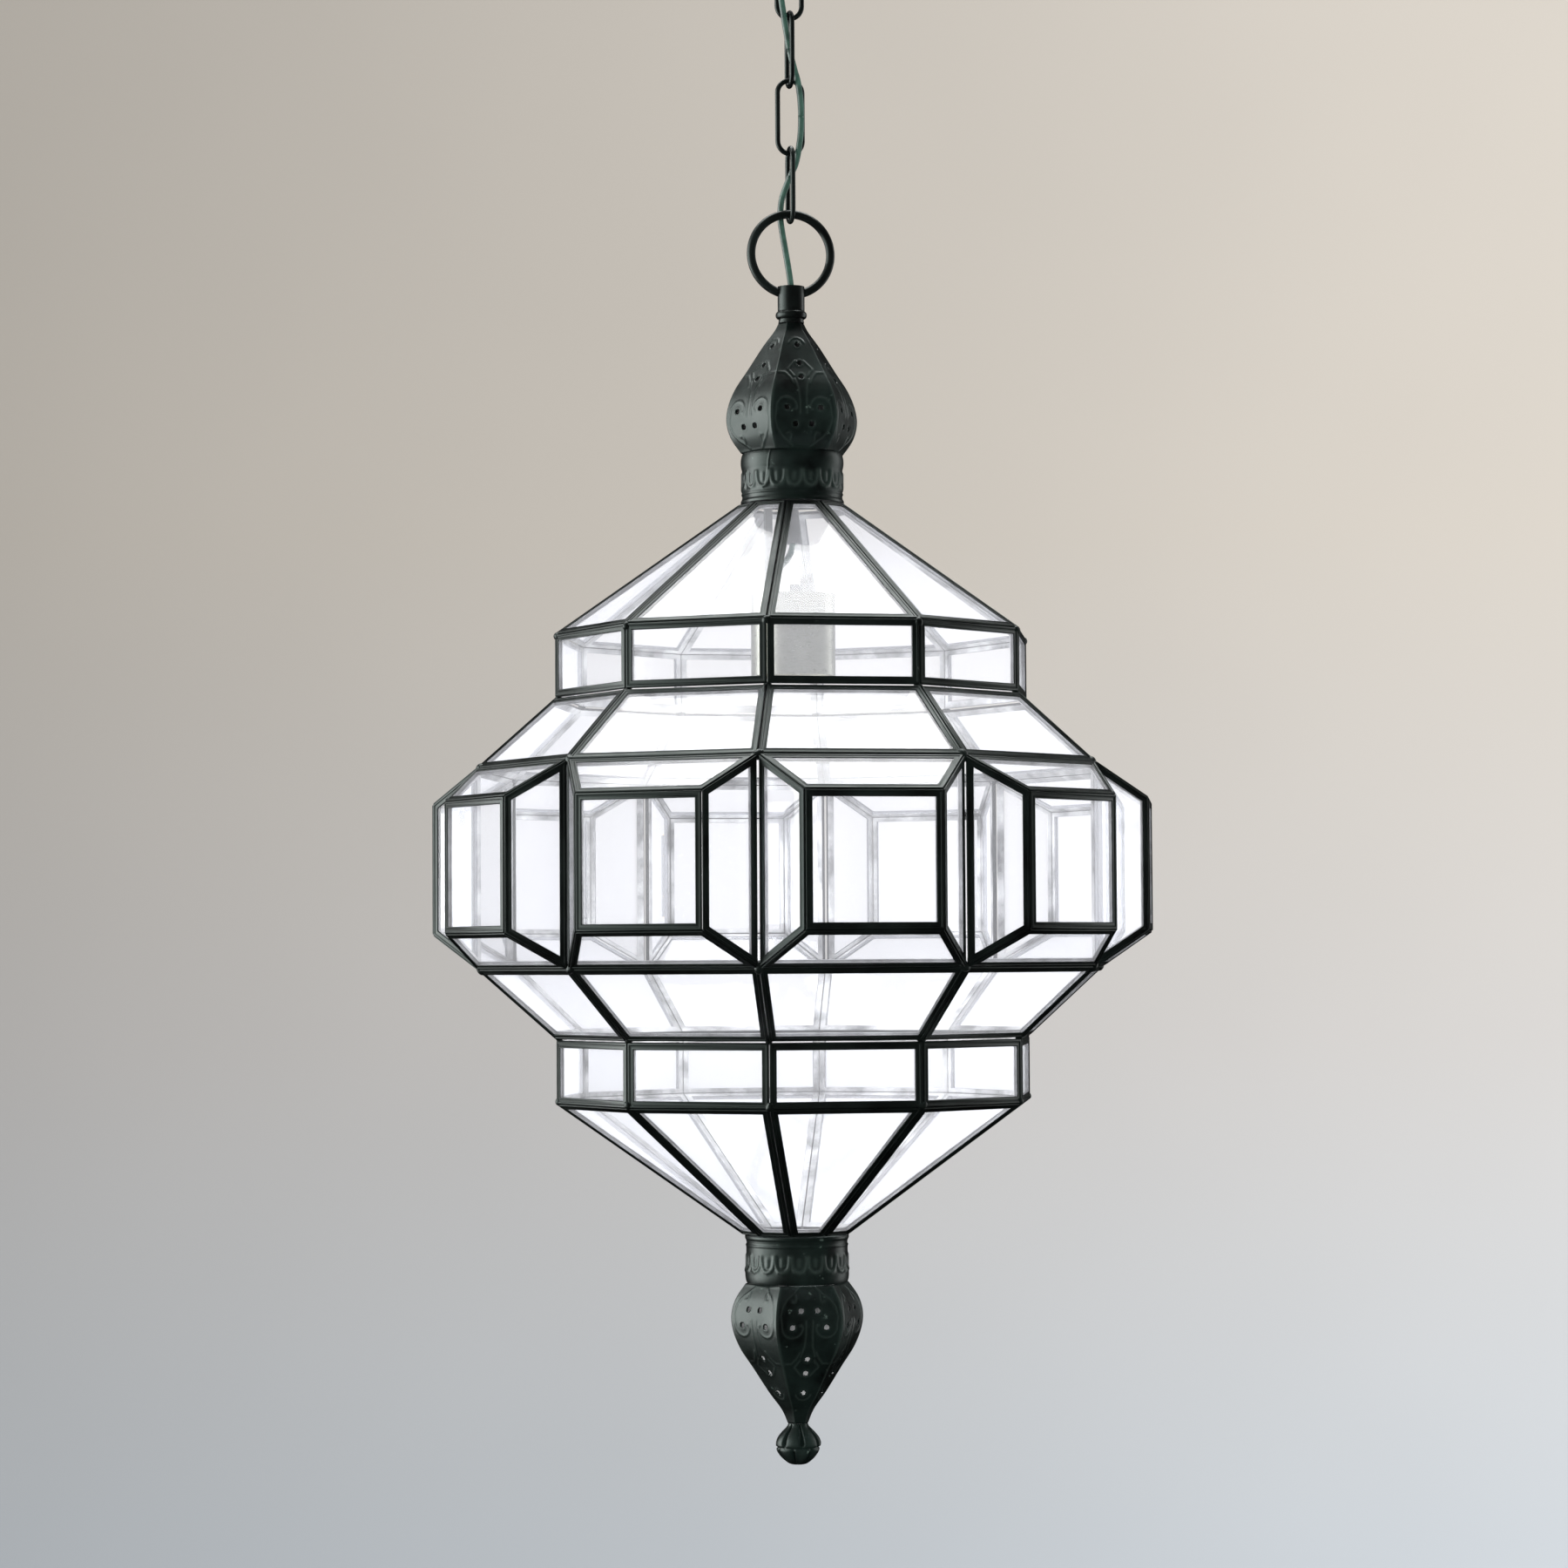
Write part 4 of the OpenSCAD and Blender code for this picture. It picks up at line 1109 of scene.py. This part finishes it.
def make_stage():
    """A round pale floor that curves up into a wall."""
    floor_z = cad_box[0][2] - FLOOR_DROP
    inner = COVE_RADIUS - COVE_BEND
    outline = [(0.0, floor_z), (inner, floor_z)]
    for i in range(1, COVE_BEND_STEPS + 1):
        angle = math.pi / 2 * i / COVE_BEND_STEPS
        outline.append((inner + COVE_BEND * math.sin(angle), floor_z + COVE_BEND * (1 - math.cos(angle))))
    outline.append((COVE_RADIUS, floor_z + WALL_HEIGHT))
    points = []
    for radius, height in outline:
        for s in range(COVE_SIDES):
            angle = 2 * math.pi * s / COVE_SIDES
            points.append((radius * math.cos(angle), radius * math.sin(angle), height))
    mesh = bpy.data.meshes.new("floor")
    mesh.from_pydata(points, [], wrap_grid(len(outline), COVE_SIDES))
    mesh.validate()
    for polygon in mesh.polygons:
        polygon.use_smooth = True
    mesh.materials.append(make_plaster())
    floor = bpy.data.objects.new("floor", mesh)
    bpy.context.scene.collection.objects.link(floor)
    # Only the camera sees the wall, so that the world's even light reaches the lantern
    floor.visible_glossy = False
    floor.visible_diffuse = False


def area_light(name, place, size, power, shine=False):
    """A soft light aimed at the lantern's middle. One that shines only makes reflections."""
    data = bpy.data.lights.new(name, "AREA")
    data.shape = "RECTANGLE"
    data.size, data.size_y = size
    data.energy = power
    lamp = bpy.data.objects.new(name, data)
    lamp.location = place
    lamp.rotation_euler = (UP * MID_Z - lamp.location).to_track_quat("-Z", "Y").to_euler()
    lamp.visible_camera = False
    lamp.visible_glossy = shine
    lamp.visible_diffuse = not shine
    bpy.context.scene.collection.objects.link(lamp)


GLOW_POWER = 3.0
GLOW_RADIUS = 60 * MM
GLOW_DROP = 10 * MM


def make_glow():
    """A weak light inside the lantern, which whitens the panes behind as a bright room would."""
    data = bpy.data.lights.new("glow", "POINT")
    data.energy = GLOW_POWER
    data.shadow_soft_size = GLOW_RADIUS
    lamp = bpy.data.objects.new("glow", data)
    lamp.location = (0, 0, MID_Z - GLOW_DROP)
    lamp.visible_camera = False
    lamp.visible_glossy = False
    bpy.context.scene.collection.objects.link(lamp)


WORLD_COLOUR = (0.95, 0.955, 0.96, 1)


def make_world():
    """Even white light from all round, which reflections don't show."""
    world = bpy.data.worlds.new("world")
    world.use_nodes = True
    background = world.node_tree.nodes["Background"]
    background.inputs["Color"].default_value = WORLD_COLOUR
    background.inputs["Strength"].default_value = 1.0
    bpy.context.scene.world = world
    world.cycles_visibility.glossy = False
    bpy.context.scene.view_settings.view_transform = "Standard"


make_stage()
area_light("window", Vector((-2.5, 0.7, MID_Z + 0.2)), (2.0, 2.8), 165, shine=True)
area_light("sky", Vector((0.0, 0.5, 1.4)), (2.4, 1.2), 88, shine=True)
area_light("glint_left", Vector((-2.6, -0.9, MID_Z + 0.3)), (0.9, 2.4), 34, shine=True)
area_light("glint_right", Vector((2.6, 0.7, MID_Z + 0.2)), (1.2, 2.6), 26, shine=True)
area_light("left", Vector((-2.4, -1.0, MID_Z + 0.4)), (2.0, 2.0), 26)
area_light("right", Vector((2.4, -1.5, MID_Z + 0.4)), (2.0, 2.0), 30)
area_light("front", Vector((0.3, -3.2, MID_Z + 0.4)), (2.4, 2.2), 92)
area_light("low", Vector((-0.3, -1.9, MID_Z - 1.3)), (2.2, 1.6), 9)
area_light("back", Vector((0.6, 3.2, MID_Z + 0.3)), (3.0, 2.6), 30)
make_glow()
make_world()
